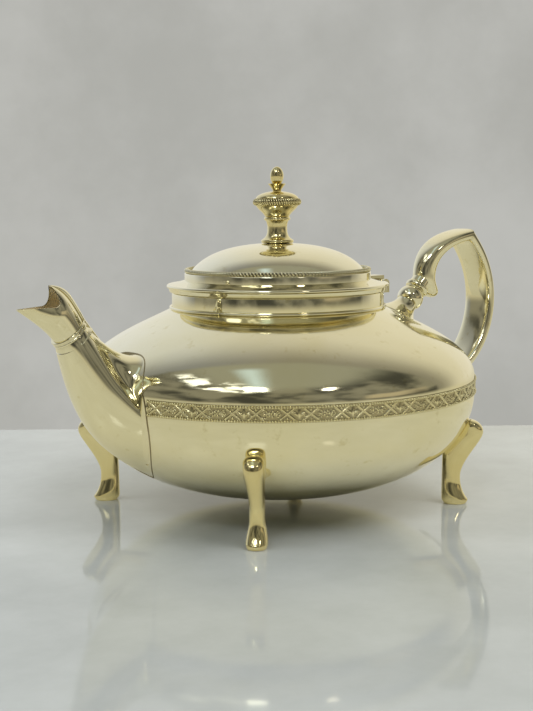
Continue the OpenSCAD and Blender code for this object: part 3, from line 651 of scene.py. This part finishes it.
# ---- handle
ARM_X, ARM_R = HANDLE_REACH - 42.4, ARM_D / 2
CREST_OUT = pt(HANDLE_REACH - 15.8, HANDLE_TOP_Z)
CREST_IN = CREST_OUT - pt(2.9, 6.2)
BOSS_X = body_at(BOSS_Z) + 10.5
ARM = pt(ARM_X, ARM_Z)
ARM_FRONT, ARM_REAR = ARM - pt(ARM_R, 0), ARM + pt(ARM_R, 0)
ARM_OUTER = [ARM_FRONT, ARM_FRONT + pt(0, 13), CREST_OUT - pt(18.8, 2.4), CREST_OUT]
ARM_INNER = [ARM_REAR, ARM_REAR + pt(0, 8.5), CREST_IN - pt(12, 1.2), CREST_IN]
DROP_OUTER = [ARM + pt(4, -10.2), ARM - pt(1.5, 9.2), ARM_FRONT - pt(0, 6.5), ARM_FRONT]
DROP_INNER = [ARM + pt(6.4, -10), ARM + pt(10.6, -7.3), ARM_REAR - pt(0.6, 4), ARM_REAR]
STRAP_X = HANDLE_REACH - STRAP_T / 2
TURN, TURN_LEAN = pt(HANDLE_REACH - 18, BOSS_Z + 15.4), 38.5
BELLY = pt(STRAP_X, BELLY_Z)
UPPER = [(CREST_IN + CREST_OUT) / 2, CREST_OUT + pt(7.4, -11.6), BELLY + pt(0, 12), BELLY]
MIDDLE = [BELLY, BELLY - pt(0, 12.5), TURN + polar(12, TURN_LEAN), TURN]
LOWER = [TURN, TURN - polar(8.5, TURN_LEAN), pt(BOSS_X + 9, BOSS_Z + 1.5), pt(BOSS_X, BOSS_Z)]
HANDLE_SIDES = 64


def handle_arm():
    """The arm: its drooping lower end, and the stem that flattens into the strap."""
    rings = []
    for k in range(20):
        t = k / 20
        half_w = ARM_R * math.sqrt(1 - (1 - t) ** 2 * 0.94)
        rings.append(oval(bezier_at(DROP_INNER, t), bezier_at(DROP_OUTER, t), half_w, 1, HANDLE_SIDES))
    for k in range(41):
        t = k / 40
        half_w, square = mix(ARM_D, STRAP_W, smooth(t)) / 2, mix(1, STRAP_EDGE, smooth(t))
        rings.append(oval(bezier_at(ARM_INNER, t), bezier_at(ARM_OUTER, t), half_w, square, HANDLE_SIDES))
    v, f = loft_data(rings)
    return make("handle_arm_cast", v, f, POT, PLATE, crease=55)


def handle_strap():
    """The strap from the crest to the boss, square to the arm's end at the top."""
    path = bezier(UPPER, 30) + bezier(MIDDLE, 30)[1:] + bezier(LOWER, 30)[1:]
    outs = -normals(path)
    last = len(path) - 1
    crest = (CREST_OUT - CREST_IN) / STRAP_T
    outs[0], outs[last] = crest, pt(0, -1)
    for i in (1, 2):
        outs[i] = mix(crest, outs[i], i / 3)
    rings = []
    for i, (q, out) in enumerate(zip(path, outs)):
        half_w = mix(STRAP_W, 2 * BOSS_R - 1, smooth((i / last - 0.62) / 0.38)) / 2
        half_t = out * STRAP_T / 2
        rings.append(oval(q - half_t, q + half_t, half_w, STRAP_EDGE, HANDLE_SIDES))
    v, f = loft_data(rings)
    return make("handle_back_strap", v, f, POT, PLATE, crease=55)


def turned(name, outline, origin, tilt):
    """A turned piece whose own axis leans from vertical towards +X."""
    v, f = lathe_data(outline, 96)
    return make(name, leant(v, tilt, origin), f, POT, PLATE)


def handle_saddle():
    """The trumpet foot, ball and neck that carry the arm, leaning by 45 degrees."""
    height = 27
    outline = [pt(0, -2.4), pt(12.9, -2.4)] + bezier([(12.6, 0), (9.4, 4), (5.2, 7.5), (4.9, 12.5)])
    outline += bezier([(5.4, 13), (6.7, 15), (6.4, 17.8), (4.7, 20)], 20)
    outline += bezier([(4.7, 20.6), (6.1, 21.4), (6.1, 23), (4.8, 24)], 14) + [pt(4.8, height), pt(0, height)]
    top = ARM - pt(1.6, 2.1)
    rise = top[1] - top[0]
    radii, heights = SHOULDER_POINTS.T
    foot_r = float(np.interp(rise, heights - radii, radii))
    stretch = pt(1, (top[0] - foot_r) * math.sqrt(2) / height)
    return turned("handle_saddle_turned", [q * stretch for q in outline], (foot_r, foot_r + rise), 45)


def handle_boss():
    """The boss that carries the strap's lower end on the bowl."""
    length, r = BOSS_X - body_at(BOSS_Z), BOSS_R
    outline = [pt(0, -1.6), pt(r + 3.9, -1.6)]
    outline += bezier([(r + 4, 0), (r + 1, 2), (r - 1, 4), (r - 0.6, length - 4)], 20)
    outline += bezier([(r, length - 3.6), (r + 1.4, length - 2.6), (r + 1.4, length - 0.6), (r, length)], 16)
    return turned("handle_boss_turned", outline + [pt(0, length)], (body_at(BOSS_Z), BOSS_Z), 90)


arm = handle_arm()
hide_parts("handle_arm")
strap = handle_strap()
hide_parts("handle_back")
saddle = handle_saddle()
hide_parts("handle_saddle")
boss = handle_boss()
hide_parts("handle_lower_boss")

# ---- feet
FEET = {"foot_spout_left": -135, "foot_spout_right": 140, "foot_handle_left": -45, "foot_handle_right": 45}
ANKLE_FRONT, ANKLE_BACK = ANKLE_R + ANKLE_T / 2 + 1.1, ANKLE_R - ANKLE_T / 2
KNEE_TOP, SHIN_TOP = pt(BODY_R + 3.8, FOOT_MID - 0.8), pt(ANKLE_FRONT, SHIN_Z)
CAP_TOP = pt(BODY_R, FOOT_HIGH)
CAP = [CAP_TOP + pt(-1.2, 0.2), CAP_TOP + pt(2.6, -0.4), CAP_TOP + pt(5, -3.4), KNEE_TOP]
KNEE = [KNEE_TOP, pt(BODY_R + 2.4, FOOT_MID - 4.6), SHIN_TOP + pt(0.9, 5.6), SHIN_TOP]
TOE, HEEL = pt(ANKLE_R + TOE_OUT + 0.4, 1.8), pt(ANKLE_BACK - 0.2, 2.4)
SHIN_FRONT = [SHIN_TOP, SHIN_TOP - pt(0.4, 3), pt(ANKLE_FRONT, 5.8), TOE]
SHIN_BACK = [pt(body_at(FOOT_LOW), FOOT_LOW), pt(ANKLE_BACK, 15.5), pt(ANKLE_BACK - 0.2, 9), HEEL]
SEAT_SINK = 0.4  # how far the foot's back reaches into the bowl


def foot_rings():
    """Sections of a foot from its cap, over the knee and down the shin, to the sole."""
    rings = []
    for k in range(18):
        t = k / 18
        z = mix(FOOT_HIGH, FOOT_MID, t)
        half_w = KNEE_W / 2 * math.sin(math.pi / 2 * min(1, 0.4 + 1.2 * t))
        rings.append(oval(pt(body_at(z) - SEAT_SINK, z), bezier_at(CAP, t), half_w, FOOT_SIDE))
    for k in range(20):
        t = k / 20
        z = mix(FOOT_MID, FOOT_LOW, t)
        half_w = mix(KNEE_W, ANKLE_W, smooth(t)) / 2
        rings.append(oval(pt(body_at(z) - SEAT_SINK, z), bezier_at(KNEE, t), half_w, FOOT_SIDE))
    for k in range(29):
        t = k / 28
        half_w = mix(ANKLE_W, SOLE_W, smooth((t - 0.45) / 0.55)) / 2
        rings.append(oval(bezier_at(SHIN_BACK, t), bezier_at(SHIN_FRONT, t), half_w, FOOT_SIDE))
    for k in range(1, 7):
        t = k / 6
        low = pt(mix(HEEL[0], ANKLE_BACK + 1.2, t ** 2), mix(HEEL[1], 0, t))
        high = pt(mix(TOE[0], ANKLE_R + TOE_OUT - 0.6, t ** 2), mix(TOE[1], 0, t))
        rings.append(oval(low, high, mix(SOLE_W / 2, SOLE_W / 2 - 0.5, t ** 2), FOOT_SIDE))
    return rings


foot_v, foot_f = loft_data(foot_rings())
for name, degrees in FEET.items():
    c, s = cos_sin(degrees)
    x, y, z = foot_v.T
    ob = make(name + "_cast", np.stack([x * c - y * s, x * s + y * c, z], 1), foot_f, POT, GILT, crease=50)
    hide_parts(name)

# ---- lid
LID_Z, RIM_R = RIM_Z + LID_GAP, NECK_R + RIM_OUT
SLEEVE_R = NECK_IN - SLEEVE_GAP
SLEEVE_IN = SLEEVE_R - WALL
BASE_Z = LID_Z + RIM_H
STEP_Z = BASE_Z + STEP_H
APEX_Z = STEP_Z + DOME_H
RIM_EDGE_R, STEP_EDGE_R = 0.75, 0.5


def rim_outline():
    outline = [pt(SLEEVE_IN, LID_Z), pt(RIM_R - 1.2, LID_Z), pt(RIM_R - 0.8, LID_Z + RIM_H / 3)]
    outline += arc((RIM_R - RIM_EDGE_R, LID_Z + RIM_H / 2), RIM_EDGE_R, -80, 80, 12)
    outline += [pt(RIM_R - 0.8, LID_Z + 0.65 * RIM_H), pt(STEP_R + 3.4, LID_Z + 0.78 * RIM_H),
                pt(STEP_R + 0.7, BASE_Z - 0.3), pt(STEP_R, BASE_Z), pt(STEP_R - WALL, BASE_Z),
                pt(STEP_R - WALL, BASE_Z - WALL), pt(SLEEVE_IN, LID_Z + WALL)]
    return outline


def cover_outline():
    """The dome and the step that it stands on, one sheet with a hole for the finial's stud."""
    hole = STUD_R + STUD_GAP
    dome = bezier([(0, APEX_Z), (0.44 * DOME_R, APEX_Z), (0.82 * DOME_R, APEX_Z - 0.24 * DOME_H),
                   (DOME_R, STEP_Z)], 48)
    under = np.array(dome) + WALL * normals(dome)
    outline = [pt(hole, APEX_Z)] + [q for q in dome if q[0] > hole] + [pt(STEP_R - STEP_EDGE_R, STEP_Z)]
    outline += arc((STEP_R - STEP_EDGE_R, STEP_Z - STEP_EDGE_R), STEP_EDGE_R, 90, 0, 6)[1:]
    outline += [pt(STEP_R, BASE_Z), pt(STEP_R - WALL, BASE_Z), pt(STEP_R - WALL, STEP_Z - WALL),
                pt(DOME_R, STEP_Z - WALL)]
    return outline + [q for q in under if q[0] > hole][::-1] + [pt(hole, APEX_Z - WALL)]


def rope(name, centre, radius, strands, material, groove):
    """A wire rope laid in a ring: strands twisted round each other."""
    around, twists = 20, 2
    count = strands * 8
    verts = []
    for k in range(count):
        a = 2 * math.pi * k / count
        for i in range(around):
            b = 2 * math.pi * i / around
            strand = (0.5 + 0.5 * math.cos(strands * a + twists * b)) ** 2
            x, z = centre + radius * (1 - groove * strand) * pt(math.cos(b), math.sin(b))
            verts.append((x * math.cos(a), x * math.sin(a), z))
    faces = outward(verts, grid_faces(count, around, closed=True))
    return make(name, verts, faces, LID, material, crease=0)


rim = lathe("lid_rim_moulding", rounded(rim_outline(), 0.3), LID, PLATE)
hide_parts("lid_rim")
loop = [(SLEEVE_IN, LID_Z - SLEEVE_H), (SLEEVE_R, LID_Z - SLEEVE_H), (SLEEVE_R, LID_Z), (SLEEVE_IN, LID_Z)]
sleeve = lathe("lid_sleeve_ring", rounded(loop, 0.3), LID, PLATE)
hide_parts("lid_sleeve")
# The dome takes the paler, painted-light copy of the plate.
cover = lathe("lid_cover_dome", cover_outline(), LID, PLATE_PAINTED_LIGHTER)
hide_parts("lid_cover")
centre = pt(STEP_R - LID_ROPE_R + 0.1, STEP_Z + LID_ROPE_R)
lrope = rope("lid_rope_wire", centre, LID_ROPE_R, 176, ROPE, 0.5)
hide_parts("lid_rope")

# ---- finial
URN_Z = APEX_Z + STEM_H
BUD_Z = URN_Z + URN_H
URN_ROPE_Z = 0.64 * URN_H  # height of the rope's centre above the urn's foot


def stem_outline():
    foot, waist = STEM_FOOT_R, WAIST_R
    outline = [pt(STUD_R, 0), pt(foot - 1, 0)]
    outline += bezier([(foot - 0.7, 0), (foot + 0.02, 0.1), (foot + 0.02, 1.2), (foot - 0.4, 1.4)], 10)
    outline += bezier([(foot - 0.4, 1.4), (4.9, 2.4), (waist, 3.6), (waist, 6.5)], 20)[1:]
    outline += bezier([(waist, 6.9), (waist, 8), (waist + 0.3, STEM_H - 0.6), (waist + 0.5, STEM_H)], 10)
    return outline + [pt(STUD_R, STEM_H)]


def urn_outline():
    socket = 4.2
    outline = [pt(STUD_R, 0), pt(4.8, 0)] + bezier([(5.0, 0.2), (5.9, 0.4), (5.9, 1.5), (5.1, 2)], 10)
    outline += bezier([(5.4, 2.2), (6.2, 4), (URN_R - 1.7, 4.6), (URN_R - 0.6, 7)], 20)
    outline += [pt(URN_R - 2.2, URN_ROPE_Z)]
    outline += bezier([(URN_R - 0.7, 0.76 * URN_H), (URN_R - 1, URN_H - 1.6), (6, URN_H - 0.4), (1.8, URN_H)])
    return outline + [pt(0, URN_H), pt(0, socket), pt(STUD_R, socket)]


def bud_outline():
    outline = [pt(0, 0)] + bezier([(1.8, 0), (2, 1.2), (BUD_R, 1.8), (BUD_R + 0.9, 3.2)], 16)
    outline += [pt(BUD_R + 0.5, 3.3), pt(2.2, 2.4), pt(1.4, 2.7)]
    outline += bezier([(1.5, 3), (BUD_R, 4.2), (BUD_R + 0.4, 7), (2.4, 8.8)], 20)
    return outline + bezier([(2.2, 9.1), (1.8, 9.8), (1, BUD_H), (0, BUD_H)], 14)


def finial_piece(name, outline, z, segs):
    return lathe(name, [q + pt(0, z) for q in outline], LID, GILT, segs)


stem = finial_piece("finial_stem_turned", stem_outline(), APEX_Z, 128)
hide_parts("finial_stem")
urn = finial_piece("finial_urn_turned", urn_outline(), URN_Z, 128)
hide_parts("finial_urn")
frope = rope("finial_rope_wire", pt(URN_R - 1, URN_ROPE_Z + URN_Z), URN_ROPE_R, 60, GILT_ROPE, 0.22)
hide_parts("finial_rope")
bud = finial_piece("finial_bud_turned", bud_outline(), BUD_Z, 96)
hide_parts("finial_bud")

# ---- ornament band
CUT = math.asin((spout_foot_w(BAND_LO) + 0.3) / BODY_R)  # half the angle that the spout covers
SPAN = 2 * math.pi - 2 * CUT
PAIR = 20.6  # mm along the band for one long and one short cell
LONG = 0.57  # share of it that the long cell takes
FIRST = 45.7  # mm along the band where a long cell starts
TALL = 2.25  # half the height between the bead rows
CROSS_SLOPE = 0.8  # rise of the crossed ribbons
RELIEF_H, RELIEF_GROUND = 0.46, 0.08
RELIEF_COLS, RELIEF_ROWS, RELIEF_EDGE = 3400, 44, 1.05
STRIP_H, STRIP_SEGS = 1.1, 480
BEAD_R, BEAD_PITCH, BEAD_OUT = 0.52, 1.1, 0.3


def ribbon(x, z, half_cell, side):
    """A narrow double-edged ribbon that crosses the band straight at each end of a cell."""
    from_cross = (half_cell - np.abs(x)) * CROSS_SLOPE
    d = np.abs(z - side * np.minimum(from_cross, TALL)) * 0.78
    flat = 0.7 * np.exp(-(d / 0.34) ** 6)
    edge = np.exp(-((d - 0.27) / 0.13) ** 2)
    return np.where(from_cross < TALL + 0.2, np.maximum(flat, edge), 0)


def flower_and_curls(x, z):
    """A five-petalled flower with a curl and a stem on each side, in a long cell."""
    r, a = np.hypot(x, z), np.arctan2(z, x)
    petals = np.exp(-((r - 0.95) / 0.42) ** 4) * np.clip(0.35 + 0.65 * np.cos(5 * a + 0.4), 0, 1)
    h = np.maximum(np.exp(-(r / 0.36) ** 4), 0.8 * petals)
    for side in (-1, 1):
        for up in (-1, 1):
            eye_x, eye_z = x - side * 2.55, z - up * side * 0.55
            from_eye = np.hypot(eye_x, eye_z)
            turn = np.mod(np.arctan2(eye_z * up, eye_x * side) + 0.6, 2 * np.pi) / (2 * np.pi)
            line = np.exp(-((from_eye - 0.3 - 0.85 * turn) / 0.17) ** 2)
            h = np.maximum(h, 0.75 * line * (from_eye < 1.25))
        stem_line = np.exp(-((np.abs(z - side * 0.3 * np.sin(x * 1.6))) / 0.16) ** 2)
        h = np.maximum(h, 0.6 * stem_line * (np.abs(x - side * 1.6) < 0.9))
    return h


def leaves(x, z):
    """An upright leaf between two that lean and two small rings, in a short cell."""
    h = np.exp(-((np.abs(x) / 0.5) ** 2 + (np.abs(z) / 1.35) ** 2) ** 1.5)
    for side in (-1, 1):
        from_stem = x - side * 1.25
        length, width = from_stem * 0.8 + z * side * 0.6, -from_stem * side * 0.6 + z * 0.8
        h = np.maximum(h, 0.85 * np.exp(-(length ** 2 + (width / 0.42) ** 2) ** 1.5))
        from_ring = np.hypot(x - side * 2.3, z + side * 0.5) - 0.45
        h = np.maximum(h, 0.7 * np.exp(-(from_ring / 0.16) ** 2))
    return h


def relief(s, z):
    """Height of the rolled ornament, 0 to 1, at s mm along the band and z above its middle."""
    share = np.mod(s - FIRST, PAIR) / PAIR
    long_cell = share < LONG
    u = np.where(long_cell, share / LONG, (share - LONG) / (1 - LONG))
    cell = np.where(long_cell, LONG, 1 - LONG) * PAIR
    x = (u - 0.5) * cell
    h = np.maximum(ribbon(x, z, cell / 2, 1), ribbon(x, z, cell / 2, -1))
    h = np.maximum(h, np.where(long_cell, flower_and_curls(x, z), leaves(x, z)))
    to_cross = np.minimum(u, 1 - u) * cell
    trefoil = 0.65 * np.exp(-(np.hypot(to_cross, np.abs(z) - 1.7) / 0.42) ** 4)
    grain = 0.05 * np.sin(s * 9.1 + 3 * np.sin(z * 5.3)) * np.sin(z * 8.7 + 2 * np.sin(s * 4.1))
    return np.maximum(h, trefoil) + grain


def band_relief():
    cols, rows = RELIEF_COLS, RELIEF_ROWS
    along, up = np.meshgrid(np.linspace(0, SPAN, cols),
                            np.linspace(-BAND_H / 2 + RELIEF_EDGE, BAND_H / 2 - RELIEF_EDGE, rows))
    r = BODY_R + (relief(along * BODY_R, up) * RELIEF_H + RELIEF_GROUND)
    a = math.pi + CUT + along
    verts = np.stack([r * np.cos(a), r * np.sin(a), up + SEAM_Z], 2).reshape(-1, 3)
    faces = [(row + i, row + i + 1, row + cols + i + 1, row + cols + i)
             for row in range(0, (rows - 1) * cols, cols) for i in range(cols - 1)]
    return make("gallery_band_relief", verts, faces, POT, BAND_METAL, crease=0)


def band_strip(name, low, high):
    """The plain strip that carries a row of beads."""
    inner, edge, middle = BODY_R - 0.1, BODY_R + 0.14, BODY_R + 0.18
    outline = [pt(inner, low), pt(edge, low), pt(middle, (low + high) / 2), pt(edge, high), pt(inner, high)]
    v, f = lathe_data(outline, STRIP_SEGS, 180 + math.degrees(CUT), math.degrees(SPAN))
    make(name, v, f, POT, BAND_METAL)


def bead_row(name, height):
    """Half-round beads that stand on a strip."""
    lat, lon = 6, 12
    bead, bead_faces = [], other_way(grid_faces(lat + 1, lon))
    for i in range(lat + 1):
        tilt = math.pi / 2 * i / lat
        for j in range(lon):
            turn = 2 * math.pi * j / lon
            bead.append((math.cos(tilt), math.sin(tilt) * math.cos(turn), math.sin(tilt) * math.sin(turn)))
    x, y, z = (np.array(bead) * BEAD_R + (BODY_R + BEAD_OUT, 0, 0)).T
    count = int(SPAN * (BODY_R + 0.5) / BEAD_PITCH)
    verts, faces = [], []
    for k in range(count):
        a = math.pi + CUT + SPAN * (k + 0.5) / count
        c, s = math.cos(a), math.sin(a)
        verts.append(np.stack([x * c - y * s, x * s + y * c, z + height], 1))
        faces += [tuple(k * len(bead) + p for p in face) for face in bead_faces]
    make(name, np.concatenate(verts), faces, POT, BAND_METAL, crease=0)


band = band_relief()
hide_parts("gallery_band")
band_strip("gallery_band_lower_strip", BAND_LO, BAND_LO + STRIP_H)
band_strip("gallery_band_upper_strip", BAND_HI - STRIP_H, BAND_HI)
bead_row("gallery_band_lower_beads", BAND_LO + BAND_WIRE_R)
bead_row("gallery_band_upper_beads", BAND_HI - BAND_WIRE_R)

# ---- the CAD nodes that stay
for name in ("hinge_pot_leaf", "hinge_pin", "hinge_lid_leaf", "finial_stud", "finial_washer", "finial_nut"):
    ob = NODES[name]
    ob.data.materials.clear()
    ob.data.materials.append(GILT if name.startswith("finial") else PLATE)
    weld = ob.modifiers.new("weld", "WELD")
    weld.merge_threshold = 0.00001
    ease = ob.modifiers.new("ease", "BEVEL")
    ease.width, ease.segments = 0.00025, 3
    ease.limit_method, ease.angle_limit = "ANGLE", math.radians(50)

# ---- camera
PHOTO_R = 86.0  # the body's radius in mm that the camera was fitted to
CAMERA_AT = (-3.786, -4.749, 1.514)  # from the pot's foot, in such radii
HEADING, PITCH, ROLL = 52, 7.19, 0.5  # in degrees, from +X, down and clockwise
FOCAL_PX, FRAME_PX, SENSOR = 1200, 711, 36

origin = Vector((AXIS_X * MM, 0, 0))
look = Vector((*cos_sin(HEADING), 0))
side_v = Vector((look.y, -look.x, 0))


def camera():
    away = Vector((AXIS_X + CAMERA_AT[0] * PHOTO_R, CAMERA_AT[1] * PHOTO_R, CAMERA_AT[2] * PHOTO_R)) * MM
    c, s = cos_sin(PITCH)
    ahead = Vector((look.x * c, look.y * c, -s))
    level = ahead.cross(Vector((0, 0, 1))).normalized()
    above = level.cross(ahead).normalized()
    c, s = cos_sin(ROLL)
    right, up = level * c - above * s, above * c + level * s
    lens = bpy.data.cameras.new("camera")
    lens.sensor_width = SENSOR
    lens.lens = FOCAL_PX / FRAME_PX * SENSOR
    lens.clip_start, lens.clip_end = 0.01, 20
    ob = add("camera", lens)
    rows = [(right[i], up[i], -ahead[i], away[i]) for i in range(3)]
    ob.matrix_world = Matrix((*rows, (0, 0, 0, 1)))
    return ob


scene.camera = camera()

# ---- table
TABLE_FAR, TABLE_NEAR, TABLE_HALF_W = 0.172, -0.62, 0.75  # in metres from the pot's axis
TABLE_DROP = 0.00005  # keeps the table just clear of the soles
PAINTED_SHADOW_R, CLEAR_R = 0.045, 0.105  # the painted shadow round the pot, where the mirrored glow fades out, ends between these
TABLE_GLOW, TABLE_GLOW_SHARE = (0.66, 0.62, 0.44, 1), 0.58


def table_material():
    """Pale mottled stone. The metal mirrors it as evenly lit, except near the pot, where a painted shadow
    fades that mirrored glow out.
    """
    material = bpy.data.materials.new("pale_table")
    material.use_nodes = True
    tree = material.node_tree
    stone = tree.nodes["Principled BSDF"]
    place = node(tree, "ShaderNodeTexCoord").outputs["Object"]
    mottle = noise(tree, place, scale=9, detail=8, roughness=0.62)
    colour = ramp(tree, mottle, (0.36, (0.45, 0.475, 0.475)), (0.66, (0.58, 0.61, 0.615)))
    tree.links.new(colour, stone.inputs["Base Color"])
    stone.inputs["Roughness"].default_value = 0.06
    stone.inputs["IOR"].default_value = 1.45
    from_pot = {0: place, 1: (AXIS_X * MM, 0, 0)}
    distance = node(tree, "ShaderNodeVectorMath", from_pot, operation="DISTANCE").outputs["Value"]
    # Painted shadow: the glow that the metal mirrors fades out near the pot's axis.
    glow_outside_painted_shadow = ranged(tree, distance, PAINTED_SHADOW_R, CLEAR_R, (0.0, TABLE_GLOW_SHARE))
    mirrored = node(tree, "ShaderNodeLightPath").outputs["Is Glossy Ray"]
    glow = node(tree, "ShaderNodeEmission", {"Color": TABLE_GLOW})
    shares = {0: calc(tree, "MULTIPLY", mirrored, glow_outside_painted_shadow), 1: stone.outputs[0], 2: glow.outputs[0]}
    surface = node(tree, "ShaderNodeMixShader", shares)
    tree.links.new(surface.outputs[0], tree.nodes["Material Output"].inputs["Surface"])
    return material


def table():
    drop = Vector((0, 0, TABLE_DROP))
    corners = []
    for ahead, aside in ((TABLE_NEAR, -1), (TABLE_NEAR, 1), (TABLE_FAR, 1), (TABLE_FAR, -1)):
        corners.append(tuple(origin + look * ahead + side_v * aside * TABLE_HALF_W - drop))
    mesh = bpy.data.meshes.new("table_top")
    mesh.from_pydata(corners, [], [(0, 1, 2, 3)])
    mesh.materials.append(table_material())
    return add("table_top", mesh)


table_ob = table()

# ---- world
# The camera sees a pale wall. The metal mirrors a backdrop on the far side and a dim room behind the camera.
studio = bpy.data.worlds.new("studio")
scene.world = studio
studio.use_nodes = True
WORLD = studio.node_tree
WORLD.nodes.clear()
direction = node(WORLD, "ShaderNodeTexCoord").outputs["Generated"]
to_view = {"Vector": direction, "Rotation": (0, 0, math.radians(90 - HEADING))}
ROOM = node(WORLD, "ShaderNodeMapping", to_view).outputs[0]  # +Y is the way the camera looks
ASIDE, AHEAD, ABOVE = node(WORLD, "ShaderNodeSeparateXYZ", {0: ROOM}).outputs


def rest_of(x):
    return calc(WORLD, "SUBTRACT", 1.0, x)


def both(a, b):
    return calc(WORLD, "MULTIPLY", a, b)


def step(x, low, high):
    return ranged(WORLD, x, low, high)


def between(x, low, high, soft):
    return both(step(x, low - soft, low + soft), rest_of(step(x, high - soft, high + soft)))


def patch(aside, above, soft):
    """A soft-edged area of the room behind the camera, between two values each way."""
    pane = both(between(ASIDE, *aside, soft), between(ABOVE, *above, soft))
    return both(pane, rest_of(step(AHEAD, 0.0, 0.1)))


def backdrop():
    """It curves up over the far side, fades towards the camera and is cooler on the left."""
    tones = {0.16: 0.24, 0.26: 0.28, 0.36: 0.38, 0.46: 0.52, 0.58: 0.66, 0.74: 0.72, 0.95: 0.80}
    fade = ramp(WORLD, AHEAD, *((ahead, (tone,) * 3) for ahead, tone in tones.items()))
    leftward = step(calc(WORLD, "MULTIPLY", ASIDE, -1.0), -0.1, 0.45)
    tint = blend(WORLD, (1.02, 0.97, 0.80), (0.97, 1.0, 1.03), leftward)
    return blend(WORLD, fade, tint, 1.0, "MULTIPLY")


def room():
    """Dull walls, a paler ceiling, a warm patch low on the right, and soft windows."""
    uneven = step(noise(WORLD, ROOM, scale=2.3, detail=5), 0.40, 0.62)
    colour = blend(WORLD, (0.06, 0.06, 0.05), (0.25, 0.24, 0.19), uneven)
    ceiling = both(step(ABOVE, 0.62, 0.86), rest_of(step(calc(WORLD, "ABSOLUTE", ASIDE), 0.35, 0.75)))
    colour = blend(WORLD, colour, (0.31, 0.31, 0.25), ceiling)
    colour = blend(WORLD, colour, (0.46, 0.40, 0.28), patch((0.76, 0.98), (0.04, 0.24), 0.05))
    broken = step(noise(WORLD, ROOM, scale=5.5, detail=5), 0.44, 0.52)
    pale = both(patch((-0.64, -0.24), (0.58, 0.86), 0.04), broken)
    colour = blend(WORLD, colour, (1.7, 1.75, 1.7), pale)
    colour = blend(WORLD, colour, (0.62, 0.76, 0.84), patch((-0.22, -0.10), (0.80, 1.1), 0.07))
    colour = blend(WORLD, colour, (10.0, 10.6, 11.0), patch((-0.27, -0.12), (0.66, 0.79), 0.03))
    return blend(WORLD, colour, (10.0, 9.6, 8.8), patch((0.36, 0.44), (0.64, 0.71), 0.02))


def surroundings():
    """The backdrop and the room over a warm floor."""
    around = blend(WORLD, room(), backdrop(), step(AHEAD, 0.14, 0.22))
    return blend(WORLD, (0.64, 0.60, 0.44), around, step(ABOVE, -0.16, 0.04))


def wall():
    mottle = step(noise(WORLD, direction, scale=5, detail=8, roughness=0.6), 0.35, 0.68)
    return blend(WORLD, (0.42, 0.42, 0.39), (0.50, 0.50, 0.47), mottle)


mirrored = node(WORLD, "ShaderNodeBackground", {"Color": surroundings()}).outputs[0]
seen = node(WORLD, "ShaderNodeBackground", {"Color": wall()}).outputs[0]
is_camera = node(WORLD, "ShaderNodeLightPath").outputs["Is Camera Ray"]
light = node(WORLD, "ShaderNodeMixShader", {0: is_camera, 1: mirrored, 2: seen})
node(WORLD, "ShaderNodeOutputWorld", {0: light.outputs[0]})


# ---- lamps
def around_pot(ahead, aside, height):
    return origin + look * ahead + side_v * aside + Vector((0, 0, height))


def lamp(name, place, size, power, colour):
    """A square lamp that points at the pot and isn't mirrored in it."""
    data = bpy.data.lights.new(name, "AREA")
    data.shape = "RECTANGLE"
    data.size, data.size_y = size, size
    data.energy = power
    data.color = colour
    ob = add(name, data)
    ob.location = place
    ob.rotation_mode = "QUATERNION"
    ob.rotation_quaternion = (around_pot(0, 0, 0.05) - place).to_track_quat("-Z", "Y")
    ob.visible_glossy = False


lamp("key", around_pot(-0.4, 0.6, 1.1), 0.8, 8.0, (1, 1, 0.99))
lamp("fill", around_pot(-0.2, -0.9, 0.9), 0.7, 3.0, (0.97, 1, 1))

scene.view_settings.view_transform = "Standard"
